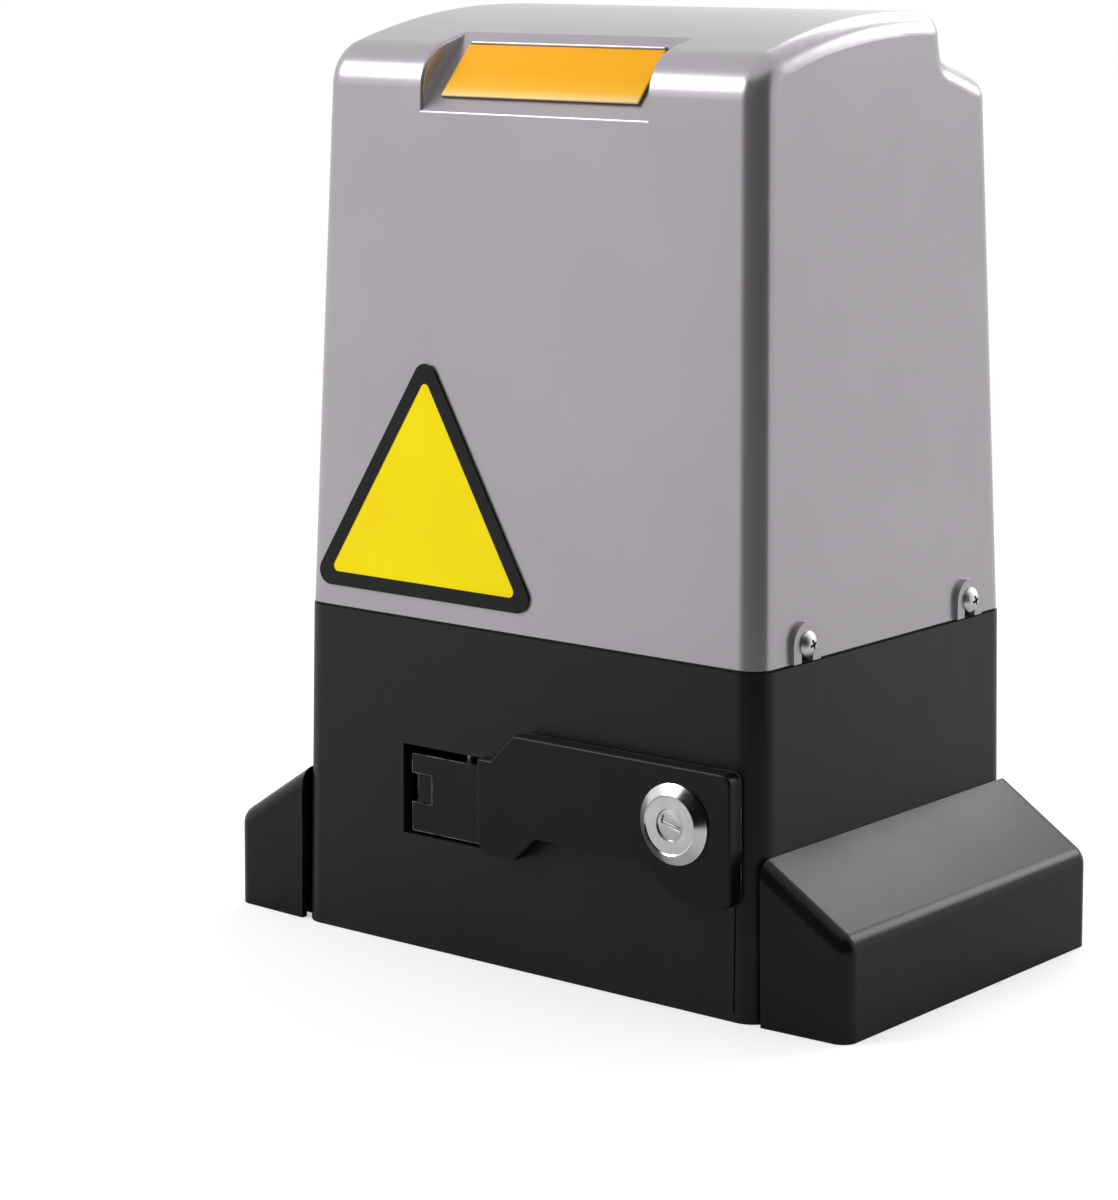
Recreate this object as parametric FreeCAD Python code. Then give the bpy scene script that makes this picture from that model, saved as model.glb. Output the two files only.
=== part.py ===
import FreeCAD, Part
import math
import os
from FreeCAD import Rotation, Vector

# Sliding gate motor. Millimetres. The origin is the centre of the anchor slots on the underside,
# +X to the right seen from the lever side, +Y towards the gate, +Z up.

os.makedirs("parts", exist_ok=True)

# ------------------------------------------------------------------ driving sizes
fit_gap = 0.3                 # gap between pieces that move past each other
running_gap = 0.05            # radial gap of a shaft in its bore

# base housing
seam_z = 116.8
base_bottom_half_width = 102.0
base_top_half_width = 99.8
base_bottom_half_depth = 75.5
base_top_half_depth = 74.3
base_corner_radius = 9.0
base_wall = 4.0
base_floor = 5.0
front_groove_x = 92.0
front_groove_width = 0.6
front_groove_depth = 0.6
front_groove_bottom_z = 3.0

# anchor flange
flange_end_gap = 2.5
flange_half_depth = 68.0
flange_thickness = 8.0
anchor_from_end = 13.5
anchor_spacing_y = 100.0
anchor_slot_width = 9.0
anchor_slot_length = 16.0

# foot covers
foot_half_width = 135.5
foot_front_y = -73.4
foot_rear_y = 76.2
foot_crease_z = 33.6
foot_top_z = 55.7
foot_crease_radius = 7.5
foot_corner_radius = 5.5
foot_wall = 2.5
foot_peg_radius = 2.5
foot_peg_y = 22.0
foot_peg_z = 36.0
foot_peg_reach = 6.0

# top cover
seal_thickness = 0.8
seal_width = 2.2
cover_inset = 0.5
cover_wall = 2.8
cover_side_draft = 1.85
cover_front_draft = 1.95
cover_rear_draft = 2.4
cover_crown_z = 325.0
cover_edge_radius = 8.0
crown_front_z = 311.0
crown_front_radius = 16.0
crown_bend_y = -18.0
crown_bend_radius = 265.0
crown_rear_y = 37.5
crown_rear_radius = 8.5
step_lean = 2.4
step_bottom_z = 309.3
step_radius = 3.0
shoulder_slope = 18.0
shoulder_radius = 9.0
recess_half_width = 48.0
recess_lower_z = 291.3
recess_angle = 48.0
recess_rim_radius = 1.2
name_plate_width = 84.0
name_plate_height = 24.0
name_plate_thickness = 2.0
name_plate_from_edge = 6.3
triangle_width = 97.6
triangle_height = 81.2
triangle_bottom_z = 124.8
triangle_centre_x = -44.0
triangle_corner_radius = 5.0
triangle_border = 5.0
triangle_thickness = 1.0

# cover screws
screw_y = 48.7
screw_z = 123.6
screw_radius = 2.5
screw_head_radius = 5.0
screw_head_height = 3.2
pad_half_width = 7.6
pad_proud = 1.4
pad_slot_gap = 0.7
lug_half_width = 7.0
lug_depth = 10.0
lug_drop = 55.0
lug_side_gap = 0.5

# output shaft line, along Y
shaft_x = -28.0
shaft_z = 57.0
shaft_radius = 10.0
shaft_front_y = -31.0
rear_gear_gap = 4.0
rear_gear_width = 22.0
rear_gear_module = 4.0
rear_gear_teeth = 16
pressure_angle = 20.0
key_width = 6.0
key_height = 6.0
bearing_outer_radius = 21.0
bearing_width = 12.0
seal_radius = 21.0
seal_depth = 7.0
gear_bolt_radius = 4.0
gear_washer_radius = 15.0
gear_washer_thickness = 3.0

# worm drive
wheel_module = 2.0
wheel_teeth = 30
wheel_width = 14.0
wheel_centre_y = 8.0
worm_pitch_radius = 10.0
worm_length = 42.0
mesh_backlash = 0.35

# gearbox chamber
chamber_front_y = -14.0
chamber_rear_y = 42.0
chamber_left_x = -64.0
chamber_floor_z = 21.0
gearbox_wall = 7.0
gearbox_top_z = 92.0
web_thickness = 12.0
gasket_thickness = 0.5
lid_thickness = 6.0
lid_left_gap = 13.8
lid_right_gap = 11.8
lid_front_y = -42.0
lid_rear_y = 56.0
lid_screw_radius = 2.5
lid_post_radius = 5.0

# clutch and release
rod_radius = 3.32
rod_bore_radius = 3.4
release_travel = 5.0
dog_height = 4.0
dog_count = 4
ring_radius = 18.0
ring_length = 6.6
pin_radius = 2.0
spring_wire_radius = 0.8
spring_turns = 4

# release lever
hinge_y = -66.0
hinge_pin_radius = 2.5
lever_front_y = -82.5
lever_back_y = -76.0
lever_skin = 3.0
lever_top_z = 84.6
lever_bottom_z = 39.6
lever_right_x = 95.0
hub_radius = 7.5
cam_radius = 8.0
block_front_y = -74.0
block_skin = 3.0
window_left_x = -52.6
window_right_x = -4.0
window_bottom_z = 40.4
window_top_z = 72.4
window_gap = 1.0
pocket_wall = 4.0
pocket_rear_y = -39.0

# lock
lock_x = 72.5
lock_z = 65.3
rosette_radius = 13.7
rosette_height = 3.2
barrel_radius = 8.5
barrel_rear_y = -64.0
plug_radius = 5.5
lock_hole_radius = 11.0
tongue_length = 20.0
tongue_half_width = 3.5
tongue_thickness = 2.0

# motor, on a vertical axis through the worm
stator_radius = 45.0
stator_bore = 26.5
stator_bottom_z = 116.0
stator_height = 46.0
stator_slots = 12
air_gap = 0.5
cap_radius = 47.0
cap_wall = 3.0
cap_bottom_height = 14.0
cap_top_height = 22.0
motor_shaft_radius = 7.5
motor_bearing_radius = 17.5
motor_bearing_width = 11.0
bearing_boss_wall = 2.5
tail_shaft_radius = 5.0
tail_bearing_radius = 15.0
tail_bearing_width = 9.0
through_bolt_circle = 52.0
through_bolt_radius = 2.5

# control board and capacitor
board_front_y = -54.0
board_thickness = 1.6
board_left_x = -60.0
board_right_x = 72.0
board_bottom_z = 104.0
board_top_z = 204.0
board_spacer = 4.0
bracket_thickness = 1.5
capacitor_radius = 17.0
capacitor_height = 78.0
capacitor_x = -60.0
capacitor_y = 18.0

# limit switch
switch_half_width = 18.0
switch_front_y = 55.0
switch_rear_y = 68.0
switch_height = 16.0
switch_floor = 3.0
limit_pivot_y = 61.0
limit_lever_radius = 2.5
limit_lever_tip_y = 112.0
limit_swing = 30.0
limit_notch_half_width = 15.0

# cable entry
cable_hole_x = 68.0
cable_hole_y = 5.0
cable_hole_radius = 17.0
grommet_flange = 3.0

# ------------------------------------------------------------------ places that follow
shaft_axis = Vector(shaft_x, 0, shaft_z)
flange_half_width = foot_half_width - foot_wall - flange_end_gap
anchor_spacing_x = 2 * (flange_half_width - anchor_from_end)
lid_left_x = lid_left_gap + base_wall - base_top_half_width
lid_right_x = base_top_half_width - base_wall - lid_right_gap
wheel_pitch_radius = wheel_module * wheel_teeth / 2
centre_distance = wheel_pitch_radius + worm_pitch_radius
motor_x = shaft_x + centre_distance
motor_y = wheel_centre_y
lid_boss_radius = motor_bearing_radius + bearing_boss_wall
chamber_right_x = motor_x + lid_boss_radius + 1.5
cover_bottom_z = seam_z + seal_thickness
cover_half_width = base_top_half_width - cover_inset
cover_half_depth = base_top_half_depth - cover_inset
lid_z = gearbox_top_z + gasket_thickness
lid_top_z = lid_z + lid_thickness
front_web_y = chamber_front_y - web_thickness
rear_web_y = chamber_rear_y + web_thickness
side_slope = (base_bottom_half_width - base_top_half_width) / seam_z
face_slope = (base_bottom_half_depth - base_top_half_depth) / seam_z


def base_half_width(z):
    return base_bottom_half_width - side_slope * z


def base_half_depth(z):
    return base_bottom_half_depth - face_slope * z


gear_front_y = base_half_depth(shaft_z) + rear_gear_gap
gear_rear_y = gear_front_y + rear_gear_width
lug_face_x = cover_half_width - cover_wall - math.tan(math.radians(cover_side_draft)) * 16 - lug_side_gap
pad_face_x = cover_half_width + pad_proud
nodes = {}


# ------------------------------------------------------------------ small helpers
def box(x0, x1, y0, y1, z0, z1):
    return Part.makeBox(x1 - x0, y1 - y0, z1 - z0, Vector(x0, y0, z0))


def rod_x(y, z, radius, x0, x1):
    return Part.makeCylinder(radius, x1 - x0, Vector(x0, y, z), Vector(1, 0, 0))


def rod_y(x, z, radius, y0, y1):
    return Part.makeCylinder(radius, y1 - y0, Vector(x, y0, z), Vector(0, 1, 0))


def rod_z(x, y, radius, z0, z1):
    return Part.makeCylinder(radius, z1 - z0, Vector(x, y, z0))


def mirrored(shape):
    return shape.mirror(Vector(0, 0, 0), Vector(1, 0, 0))


def turned(shape, degrees, point, axis):
    copy = shape.copy()
    copy.rotate(point, axis, degrees)
    return copy


def around(shape, count, point, axis):
    return [turned(shape, 360 / count * i, point, axis) for i in range(count)]


def rounded(shape, radius, chosen):
    return shape.makeFillet(radius, [edge for edge in shape.Edges if chosen(edge)])


def is_upright(edge):
    ends = [vertex.Point for vertex in edge.Vertexes]
    if len(ends) < 2:
        return False
    run = ends[1] - ends[0]
    return abs(run.z) > 3 * math.hypot(run.x, run.y)


def drafted_block(width0, depth0, z0, width1, depth1, z1, corner):
    block = Part.makeWedge(-width0, z0, -depth0, -depth1, -width1, width0, z1, depth0, depth1, width1)
    block.rotate(Vector(0, 0, 0), Vector(1, 0, 0), 90)
    return rounded(block, corner, is_upright)


def upright_plate(x0, x1, y0, y1, z0, z1, corner):
    return rounded(box(x0, x1, y0, y1, z0, z1), corner, is_upright)


def rounded_outline(corners, place):
    """Closed wire through (u, v, radius) corners, with a tangent arc at each that has a radius."""
    edges = []
    starts = []
    ends = []
    for i, (u, v, radius) in enumerate(corners):
        here = Vector(u, v, 0)
        before = Vector(*corners[i - 1][:2], 0)
        after = Vector(*corners[(i + 1) % len(corners)][:2], 0)
        back = (before - here).normalize()
        ahead = (after - here).normalize()
        if radius == 0:
            starts.append(here)
            ends.append(here)
            edges.append(None)
            continue
        half = math.acos(max(-1, min(1, back.dot(ahead)))) / 2
        reach = radius / math.tan(half)
        middle = here + (back + ahead).normalize() * (radius / math.sin(half) - radius)
        starts.append(here + back * reach)
        ends.append(here + ahead * reach)
        edges.append((starts[-1], middle, ends[-1]))
    pieces = []
    for i in range(len(corners)):
        if edges[i]:
            pieces.append(Part.Arc(*[place(p.x, p.y) for p in edges[i]]).toShape())
        line_start = ends[i]
        line_end = starts[(i + 1) % len(corners)]
        if (line_end - line_start).Length > 1e-6:
            pieces.append(Part.makeLine(place(line_start.x, line_start.y), place(line_end.x, line_end.y)))
    return Part.Wire(pieces)


def inset_corners(corners, distance):
    """The same outline with every side moved inwards; the corners run clockwise."""
    lines = []
    for i in range(len(corners)):
        a = Vector(*corners[i][:2], 0)
        b = Vector(*corners[(i + 1) % len(corners)][:2], 0)
        along = (b - a).normalize()
        lines.append((a + Vector(along.y, -along.x, 0) * distance, along))
    moved = []
    for i, (u, v, radius) in enumerate(corners):
        p, d = lines[i - 1]
        q, e = lines[i]
        share = ((q - p).x * e.y - (q - p).y * e.x) / (d.x * e.y - d.y * e.x)
        point = p + d * share
        turn = d.x * e.y - d.y * e.x
        new_radius = 0 if radius == 0 else max(radius - distance, 0.5) if turn < 0 else radius + distance
        moved.append((point.x, point.y, new_radius))
    return moved


def prism(corners, place, direction):
    return Part.Face(rounded_outline(corners, place)).extrude(direction)


def union(*shapes):
    whole = shapes[0].fuse(list(shapes[1:]))
    return whole.removeSplitter()


# ------------------------------------------------------------------ base housing
def slot_along_x(x, y):
    half = anchor_slot_length / 2 - anchor_slot_width / 2
    r = anchor_slot_width / 2
    middle = box(x - half, x + half, y - r, y + r, -1, flange_thickness + 1)
    ends = [rod_z(x + dx, y, r, -1, flange_thickness + 1) for dx in (-half, half)]
    return union(middle, *ends)


def make_cover_lug():
    """One tapped lug that stands inside the cover's side wall, on the +X side."""
    top = screw_z + lug_half_width
    foot = seam_z - lug_drop
    inner = lug_face_x - lug_depth
    corners = [(base_half_width(foot) - base_wall / 2, foot, 0), (inner, foot + lug_depth, 0), (inner, top, 2),
               (lug_face_x, top, 2), (lug_face_x, seam_z, 0),
               (base_half_width(seam_z) - base_wall / 2, seam_z - 2, 0)]
    return prism(corners, lambda x, z: Vector(x, screw_y - lug_half_width, z), Vector(0, 2 * lug_half_width, 0))


def make_base_housing():
    outer = drafted_block(base_bottom_half_width, base_bottom_half_depth, 0,
                          base_top_half_width, base_top_half_depth, seam_z, base_corner_radius)
    flange = upright_plate(-flange_half_width, flange_half_width, -flange_half_depth, flange_half_depth,
                           0, flange_thickness, base_corner_radius)
    over = 2.0
    cavity = drafted_block(base_half_width(base_floor) - base_wall, base_half_depth(base_floor) - base_wall, base_floor,
                           base_half_width(seam_z + over) - base_wall, base_half_depth(seam_z + over) - base_wall,
                           seam_z + over, base_corner_radius - base_wall)
    shell = outer.fuse(flange).cut(cavity)
    # gearbox block and the tunnel of the rear bearing
    block = upright_plate(chamber_left_x - gearbox_wall, chamber_right_x + gearbox_wall, front_web_y, rear_web_y,
                          0, gearbox_top_z, 5)
    tunnel = rod_y(shaft_x, shaft_z, bearing_outer_radius + gearbox_wall, chamber_rear_y,
                   base_half_depth(shaft_z) - base_wall / 2)
    # release pocket behind the window
    pocket = box(window_left_x - window_gap * 2 - pocket_wall, window_right_x + window_gap * 2 + pocket_wall,
                 -base_half_depth(shaft_z) + base_wall / 2, pocket_rear_y + pocket_wall,
                 window_bottom_z - window_gap - pocket_wall, window_top_z + window_gap + pocket_wall)
    lugs = [make_cover_lug()]
    lugs.append(lugs[0].mirror(Vector(0, 0, 0), Vector(0, 1, 0)))
    lugs += [mirrored(lug) for lug in lugs]
    shelf = box(shaft_x - switch_half_width - 3, shaft_x + switch_half_width + 3, switch_front_y,
                base_half_depth(seam_z) - base_wall / 2, seam_z - 14, seam_z)
    shelf_web = box(shaft_x - 3, shaft_x + 3, switch_front_y + 2, base_half_depth(seam_z) - base_wall / 2,
                    shaft_z + bearing_outer_radius, seam_z - 14)
    posts = [rod_z(x, y, lid_post_radius, 0, gearbox_top_z) for x, y in lid_post_places()]
    boss = rod_z(cable_hole_x, cable_hole_y, cable_hole_radius + 4, 0, base_floor + 2)
    body = union(shell, block, tunnel, pocket, shelf, shelf_web, boss, *lugs, *posts)
    # chamber, bores and seats
    chamber = upright_plate(chamber_left_x, chamber_right_x, chamber_front_y, chamber_rear_y,
                            chamber_floor_z, gearbox_top_z + 1, 6)
    rear_face_y = base_half_depth(shaft_z)
    lock_hole_rear_y = -base_half_depth(lock_z) + base_wall + 2
    cuts = [chamber,
            rod_y(shaft_x, shaft_z, bearing_outer_radius, front_web_y - 1, chamber_front_y + 1),
            rod_y(shaft_x, shaft_z, bearing_outer_radius, chamber_rear_y - 1, rear_web_y),
            rod_y(shaft_x, shaft_z, shaft_radius + 5, chamber_rear_y, rear_face_y + 2),
            rod_y(shaft_x, shaft_z, seal_radius, rear_face_y - seal_depth - 1, rear_face_y + 2),
            rod_z(motor_x, motor_y, tail_bearing_radius, chamber_floor_z - tail_bearing_width - 1, chamber_floor_z + 1),
            box(window_left_x - window_gap * 2, window_right_x + window_gap * 2,
                -base_half_depth(shaft_z) + base_wall, pocket_rear_y,
                window_bottom_z - window_gap, window_top_z + window_gap),
            box(window_left_x, window_right_x, -base_bottom_half_depth - 1,
                -base_half_depth(shaft_z) + base_wall + 1, window_bottom_z, window_top_z),
            rod_y(shaft_x, shaft_z, rod_radius + fit_gap, pocket_rear_y - 1, pocket_rear_y + pocket_wall + 1),
            rod_z(shaft_x, hinge_y, hinge_pin_radius, window_bottom_z - window_gap - pocket_wall + 1,
                  window_top_z + window_gap + pocket_wall + 1),
            rod_y(lock_x, lock_z, lock_hole_radius, -base_bottom_half_depth - 1, lock_hole_rear_y),
            box(lock_x - tongue_length - 3, lock_x, -base_bottom_half_depth - 1, lock_hole_rear_y,
                lock_z - tongue_half_width - 1.5, lock_z + tongue_half_width + 1.5),
            rod_z(cable_hole_x, cable_hole_y, cable_hole_radius, -1, base_floor + 3),
            box(shaft_x - switch_half_width - 4, shaft_x + switch_half_width + 4,
                base_half_depth(seam_z) - base_wall - 0.01, base_bottom_half_depth, seam_z, seam_z + 5),
            box(front_groove_x - front_groove_width / 2, front_groove_x + front_groove_width / 2,
                -base_bottom_half_depth - 1, front_groove_depth - base_half_depth(lever_bottom_z / 2),
                front_groove_bottom_z, lever_bottom_z)]
    for side_y in (-1, 1):
        holes = [slot_along_x(anchor_spacing_x / 2, side_y * anchor_spacing_y / 2),
                 rod_x(side_y * foot_peg_y, foot_peg_z, foot_peg_radius + 0.1,
                       base_top_half_width - base_wall - 4, foot_half_width),
                 rod_x(side_y * screw_y, screw_z, screw_radius, lug_face_x - lug_depth + 1.5, lug_face_x + 1)]
        cuts += holes + [mirrored(hole) for hole in holes]
    cuts += [rod_z(x, y, lid_screw_radius, gearbox_top_z - 14, gearbox_top_z + 1) for x, y in lid_screw_places()]
    return body.cut(cuts).removeSplitter()


def lid_post_places():
    """Free-standing posts that carry the lid past the gearbox block."""
    edge = lid_post_radius + 2
    return [(x, y) for x in (lid_left_x + edge, lid_right_x - edge) for y in (lid_front_y + edge, lid_rear_y - edge)]


def lid_screw_places():
    return lid_post_places() + [(chamber_left_x - gearbox_wall / 2, chamber_front_y),
                                (shaft_x - web_thickness, rear_web_y - web_thickness / 2)]


# ------------------------------------------------------------------ foot covers
def foot_form(inset, bottom_z):
    """Right foot cover's outer form, made smaller by inset, without its side towards the base."""
    slope = (foot_top_z - foot_crease_z) / (foot_half_width - base_half_width(foot_top_z))
    drop = inset * math.sqrt(1 + slope * slope)
    inner_x = base_bottom_half_width + fit_gap
    top_x = base_half_width(foot_top_z) + fit_gap
    inner_low_x = inner_x - side_slope * bottom_z
    outer_x = foot_half_width - inset
    top = foot_top_z - drop
    crease = foot_crease_z - drop + slope * inset
    corners = [(inner_low_x - inset, bottom_z, 0), (outer_x, bottom_z, 0),
               (outer_x - 0.4, crease, foot_crease_radius - inset), (top_x - inset, top + slope * inset, 0)]
    wire = rounded_outline(corners, lambda x, z: Vector(x, foot_front_y - 10, z))
    solid = Part.Face(wire).extrude(Vector(0, foot_rear_y - foot_front_y + 20, 0))
    rear = box(0, 2 * foot_half_width, foot_rear_y - inset, 2 * foot_rear_y, -foot_top_z, 2 * foot_top_z)
    inner_y = -base_bottom_half_depth + 0.4 + inset
    outer_y = foot_front_y + 0.3 + inset
    front_wire = Part.makePolygon([Vector(x, y, -foot_top_z) for x, y in (
        (inner_x - 5, inner_y), (foot_half_width + 5, outer_y), (foot_half_width + 5, 2 * foot_front_y),
        (inner_x - 5, 2 * foot_front_y), (inner_x - 5, inner_y))])
    front = Part.Face(front_wire).extrude(Vector(0, 0, 3 * foot_top_z))
    solid = solid.cut([rear, front])
    ends = [edge for edge in solid.Edges if edge.CenterOfMass.x > top_x + 1 and edge.CenterOfMass.z > bottom_z + 1
            and (abs(edge.CenterOfMass.y) > abs(foot_front_y) - inset - 2)]
    return solid.makeFillet(foot_corner_radius - inset * 0.8, ends)


def make_right_foot_cover():
    shell = foot_form(0, 0).cut(foot_form(foot_wall, -5))
    slope = (foot_top_z - foot_crease_z) / (foot_half_width - base_half_width(foot_top_z))
    wall_x = base_half_width(foot_peg_z) + fit_gap
    far_x = foot_half_width - foot_wall / 2
    pieces = [shell]
    for y in (-foot_peg_y, foot_peg_y):
        corners = [(wall_x, foot_peg_z - 8), (far_x, flange_thickness + 6),
                   (far_x, foot_crease_z - foot_wall / 2), (wall_x, foot_top_z - foot_wall / 2 - slope * 1.5)]
        wire = Part.makePolygon([Vector(x, y - 1.25, z) for x, z in corners + corners[:1]])
        pieces.append(Part.Face(wire).extrude(Vector(0, 2.5, 0)))
        pieces.append(rod_x(y, foot_peg_z, foot_peg_radius, wall_x - foot_peg_reach, wall_x + 12))
    return union(*pieces)


# ------------------------------------------------------------------ top cover
def cover_corners(bottom_z):
    """Side outline (y, z, radius), clockwise from the front bottom corner seen along +X."""
    front = math.tan(math.radians(cover_front_draft))
    rear = math.tan(math.radians(cover_rear_draft))
    slope = math.tan(math.radians(shoulder_slope))
    step_y = crown_rear_y + step_lean
    rise = bottom_z - cover_bottom_z
    # where the shoulder line meets the rear face
    rear_y = (cover_half_depth + rear * (cover_bottom_z - step_bottom_z - slope * step_y)) / (1 - rear * slope)
    return [(-cover_half_depth + front * rise, bottom_z, 0),
            (-cover_half_depth + front * (crown_front_z - cover_bottom_z), crown_front_z, crown_front_radius),
            (crown_bend_y, cover_crown_z, crown_bend_radius),
            (crown_rear_y, cover_crown_z, crown_rear_radius),
            (step_y, step_bottom_z, step_radius),
            (rear_y, step_bottom_z - slope * (rear_y - step_y), shoulder_radius),
            (cover_half_depth - rear * rise, bottom_z, 0)]


def cover_side_x(z, inset):
    return cover_half_width - math.tan(math.radians(cover_side_draft)) * (z - cover_bottom_z) - inset


def cover_form(inset, bottom_z):
    corners = cover_corners(bottom_z - inset)
    if inset:
        corners = inset_corners(corners, inset)
    slab = prism(corners, lambda y, z: Vector(-foot_half_width, y, z), Vector(2 * foot_half_width, 0, 0))
    low = bottom_z - 5
    high = cover_crown_z + 10
    far = 2 * cover_half_depth
    sides = Part.makeWedge(-cover_side_x(low, inset), low, -far, -far, -cover_side_x(high, inset),
                           cover_side_x(low, inset), high, far, far, cover_side_x(high, inset))
    sides.rotate(Vector(0, 0, 0), Vector(1, 0, 0), 90)
    form = slab.common(sides)

    def on_side(edge):
        ends = edge.Vertexes
        return all(abs(abs(v.X) - cover_side_x(v.Z, inset)) < 0.01 for v in ends) \
            and edge.CenterOfMass.z > bottom_z + 0.5 and abs(edge.CenterOfMass.x) > 50
    form = rounded(form, cover_edge_radius - inset, on_side)
    return form.cut(recess_tool(inset))


def recess_start():
    """Front-face end of the flat that carries the name plate, as (y, z)."""
    y = -cover_half_depth + math.tan(math.radians(cover_front_draft)) * (recess_lower_z - cover_bottom_z)
    return Vector(0, y, recess_lower_z)


def recess_along():
    return Vector(0, math.cos(math.radians(recess_angle)), math.sin(math.radians(recess_angle)))


def recess_out():
    return Vector(0, -math.sin(math.radians(recess_angle)), math.cos(math.radians(recess_angle)))


def recess_tool(inset):
    half = recess_half_width + inset
    start = recess_start() - recess_out() * inset - recess_along() * 12
    far = start + recess_along() * 90
    outside = recess_out() * 60
    wire = Part.makePolygon([p + Vector(-half, 0, 0) for p in (start, far, far + outside, start + outside, start)])
    return Part.Face(wire).extrude(Vector(2 * half, 0, 0))


def make_screw_pad(y):
    """Raised U-shaped pad on the +X side, with its slot open at the bottom."""
    inner_x = cover_side_x(screw_z + pad_half_width, 0) - 1.5
    plate = box(inner_x, pad_face_x, y - pad_half_width, y + pad_half_width, cover_bottom_z, screw_z)
    return plate.fuse(rod_x(y, screw_z, pad_half_width, inner_x, pad_face_x))


def round_recess_rim(form):
    """Round the convex rim of the recess; the two corners along its floor stay sharp."""
    start = recess_start()

    def on_rim(edge):
        ends = [vertex.Point for vertex in edge.Vertexes]
        middle = edge.valueAt((edge.FirstParameter + edge.LastParameter) / 2)
        within = middle.z > recess_lower_z - 0.01 and all(abs(p.x) < recess_half_width + 0.01 for p in ends)
        on_side = abs(abs(middle.x) - recess_half_width) < 0.01
        on_floor = all(abs((p - start).dot(recess_out())) < 0.01 for p in ends)
        return within and on_side != on_floor
    return rounded(form, recess_rim_radius, on_rim)


def make_top_cover():
    shell = round_recess_rim(cover_form(0, cover_bottom_z)).cut(cover_form(cover_wall, cover_bottom_z - 3))
    pads = []
    slots = []
    for y in (-screw_y, screw_y):
        pads.append(make_screw_pad(y))
        r = screw_radius + pad_slot_gap
        mouth = box(lug_face_x, pad_face_x + 1, y - r, y + r, cover_bottom_z - 1, screw_z)
        slots.append(mouth.fuse(rod_x(y, screw_z, r, lug_face_x, pad_face_x + 1)))
    pads += [mirrored(p) for p in pads]
    slots += [mirrored(s) for s in slots]
    notch = box(shaft_x - limit_notch_half_width, shaft_x + limit_notch_half_width, cover_half_depth - 12,
                cover_half_depth + 5, cover_bottom_z - 1, seam_z + switch_height)
    below = box(-foot_half_width, foot_half_width, -foot_half_width, foot_half_width, cover_bottom_z - 20, cover_bottom_z)
    return shell.fuse(pads).cut(slots + [notch, below]).removeSplitter()


def make_name_plate():
    start = recess_start() + recess_along() * name_plate_from_edge
    half = Vector(name_plate_width / 2, 0, 0)
    end = start + recess_along() * name_plate_height
    points = [start - half, start + half, end + half, end - half]
    plate = Part.Face(Part.makePolygon(points + points[:1])).extrude(recess_out() * name_plate_thickness)
    edges = [e for e in plate.Edges
             if all((v.Point - start).dot(recess_out()) > name_plate_thickness - 0.01 for v in e.Vertexes)]
    return plate.makeChamfer(name_plate_thickness * 0.6, edges)


def triangle_outline(inset, offset):
    """Triangle on the cover's drafted front face; offset is the height above that face."""
    half = triangle_width / 2 + triangle_corner_radius * 0.55
    height = triangle_height + triangle_corner_radius * 0.95
    corners = [(triangle_centre_x - half, triangle_bottom_z, 0), (triangle_centre_x, triangle_bottom_z + height, 0),
               (triangle_centre_x + half, triangle_bottom_z, 0)]
    moved = inset_corners([(x, z, triangle_corner_radius) for x, z, r in corners], inset)
    moved = [(x, z, max(triangle_corner_radius - inset * 0.6, 1.5)) for x, z, r in moved]
    draft = math.radians(cover_front_draft)

    def place(x, z):
        rise = z - cover_bottom_z
        y = -cover_half_depth + math.tan(draft) * rise
        return Vector(x, y - offset * math.cos(draft), z + offset * math.sin(draft))
    return rounded_outline(moved, place), Vector(0, -math.cos(draft), math.sin(draft))


def make_triangle_border():
    outer, out = triangle_outline(0, 0)
    inner, out = triangle_outline(triangle_border, 0)
    plate = Part.Face(outer).extrude(out * triangle_thickness)
    return plate.cut(Part.Face(inner).extrude(out * triangle_thickness * 2))


def make_triangle_field():
    inner, out = triangle_outline(triangle_border, 0)
    return Part.Face(inner).extrude(out * triangle_thickness * 0.8)


def make_base_seal():
    outer_w = cover_half_width - 0.4
    outer_d = cover_half_depth - 0.4
    r = base_corner_radius - 1
    ring = upright_plate(-outer_w, outer_w, -outer_d, outer_d, seam_z, cover_bottom_z, r)
    hole = upright_plate(-outer_w + seal_width, outer_w - seal_width, -outer_d + seal_width, outer_d - seal_width,
                         seam_z - 1, cover_bottom_z + 1, r - seal_width)
    notch = box(shaft_x - limit_notch_half_width, shaft_x + limit_notch_half_width, 0, 2 * cover_half_depth,
                seam_z - 1, cover_bottom_z + 1)
    return ring.cut([hole, notch])


# ------------------------------------------------------------------ screws and bearings
def pan_screw_x(y, z, side):
    """Pan-head screw along X, its head against the pad; the cross recess is cut in the head."""
    seat_x = pad_face_x + running_gap
    shank = rod_x(y, z, screw_radius, lug_face_x - lug_depth + 1.5, seat_x + 0.2)
    head = rod_x(y, z, screw_head_radius, seat_x, seat_x + screw_head_height)
    head = rounded(head, 1.6, lambda e: e.CenterOfMass.x > seat_x + screw_head_height - 0.1)
    deep = seat_x + screw_head_height - 1.8
    slot = 0.75
    cross = box(deep, deep + 5, y - 2.9, y + 2.9, z - slot, z + slot).fuse(
        box(deep, deep + 5, y - slot, y + slot, z - 2.9, z + 2.9))
    screw = union(shank, head).cut(turned(cross, 20, Vector(0, y, z), Vector(1, 0, 0)))
    return screw if side > 0 else mirrored(screw)


def hex_prism(across, point, direction):
    """Hexagonal head of a bolt, centred at point and standing along direction."""
    radius = across / math.sqrt(3)
    corners = [Vector(radius * math.cos(math.pi / 3 * i), radius * math.sin(math.pi / 3 * i), 0) for i in range(7)]
    head = Part.Face(Part.makePolygon(corners)).extrude(Vector(0, 0, direction.Length))
    head.Placement = FreeCAD.Placement(point, Rotation(Vector(0, 0, 1), direction))
    return head


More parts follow.
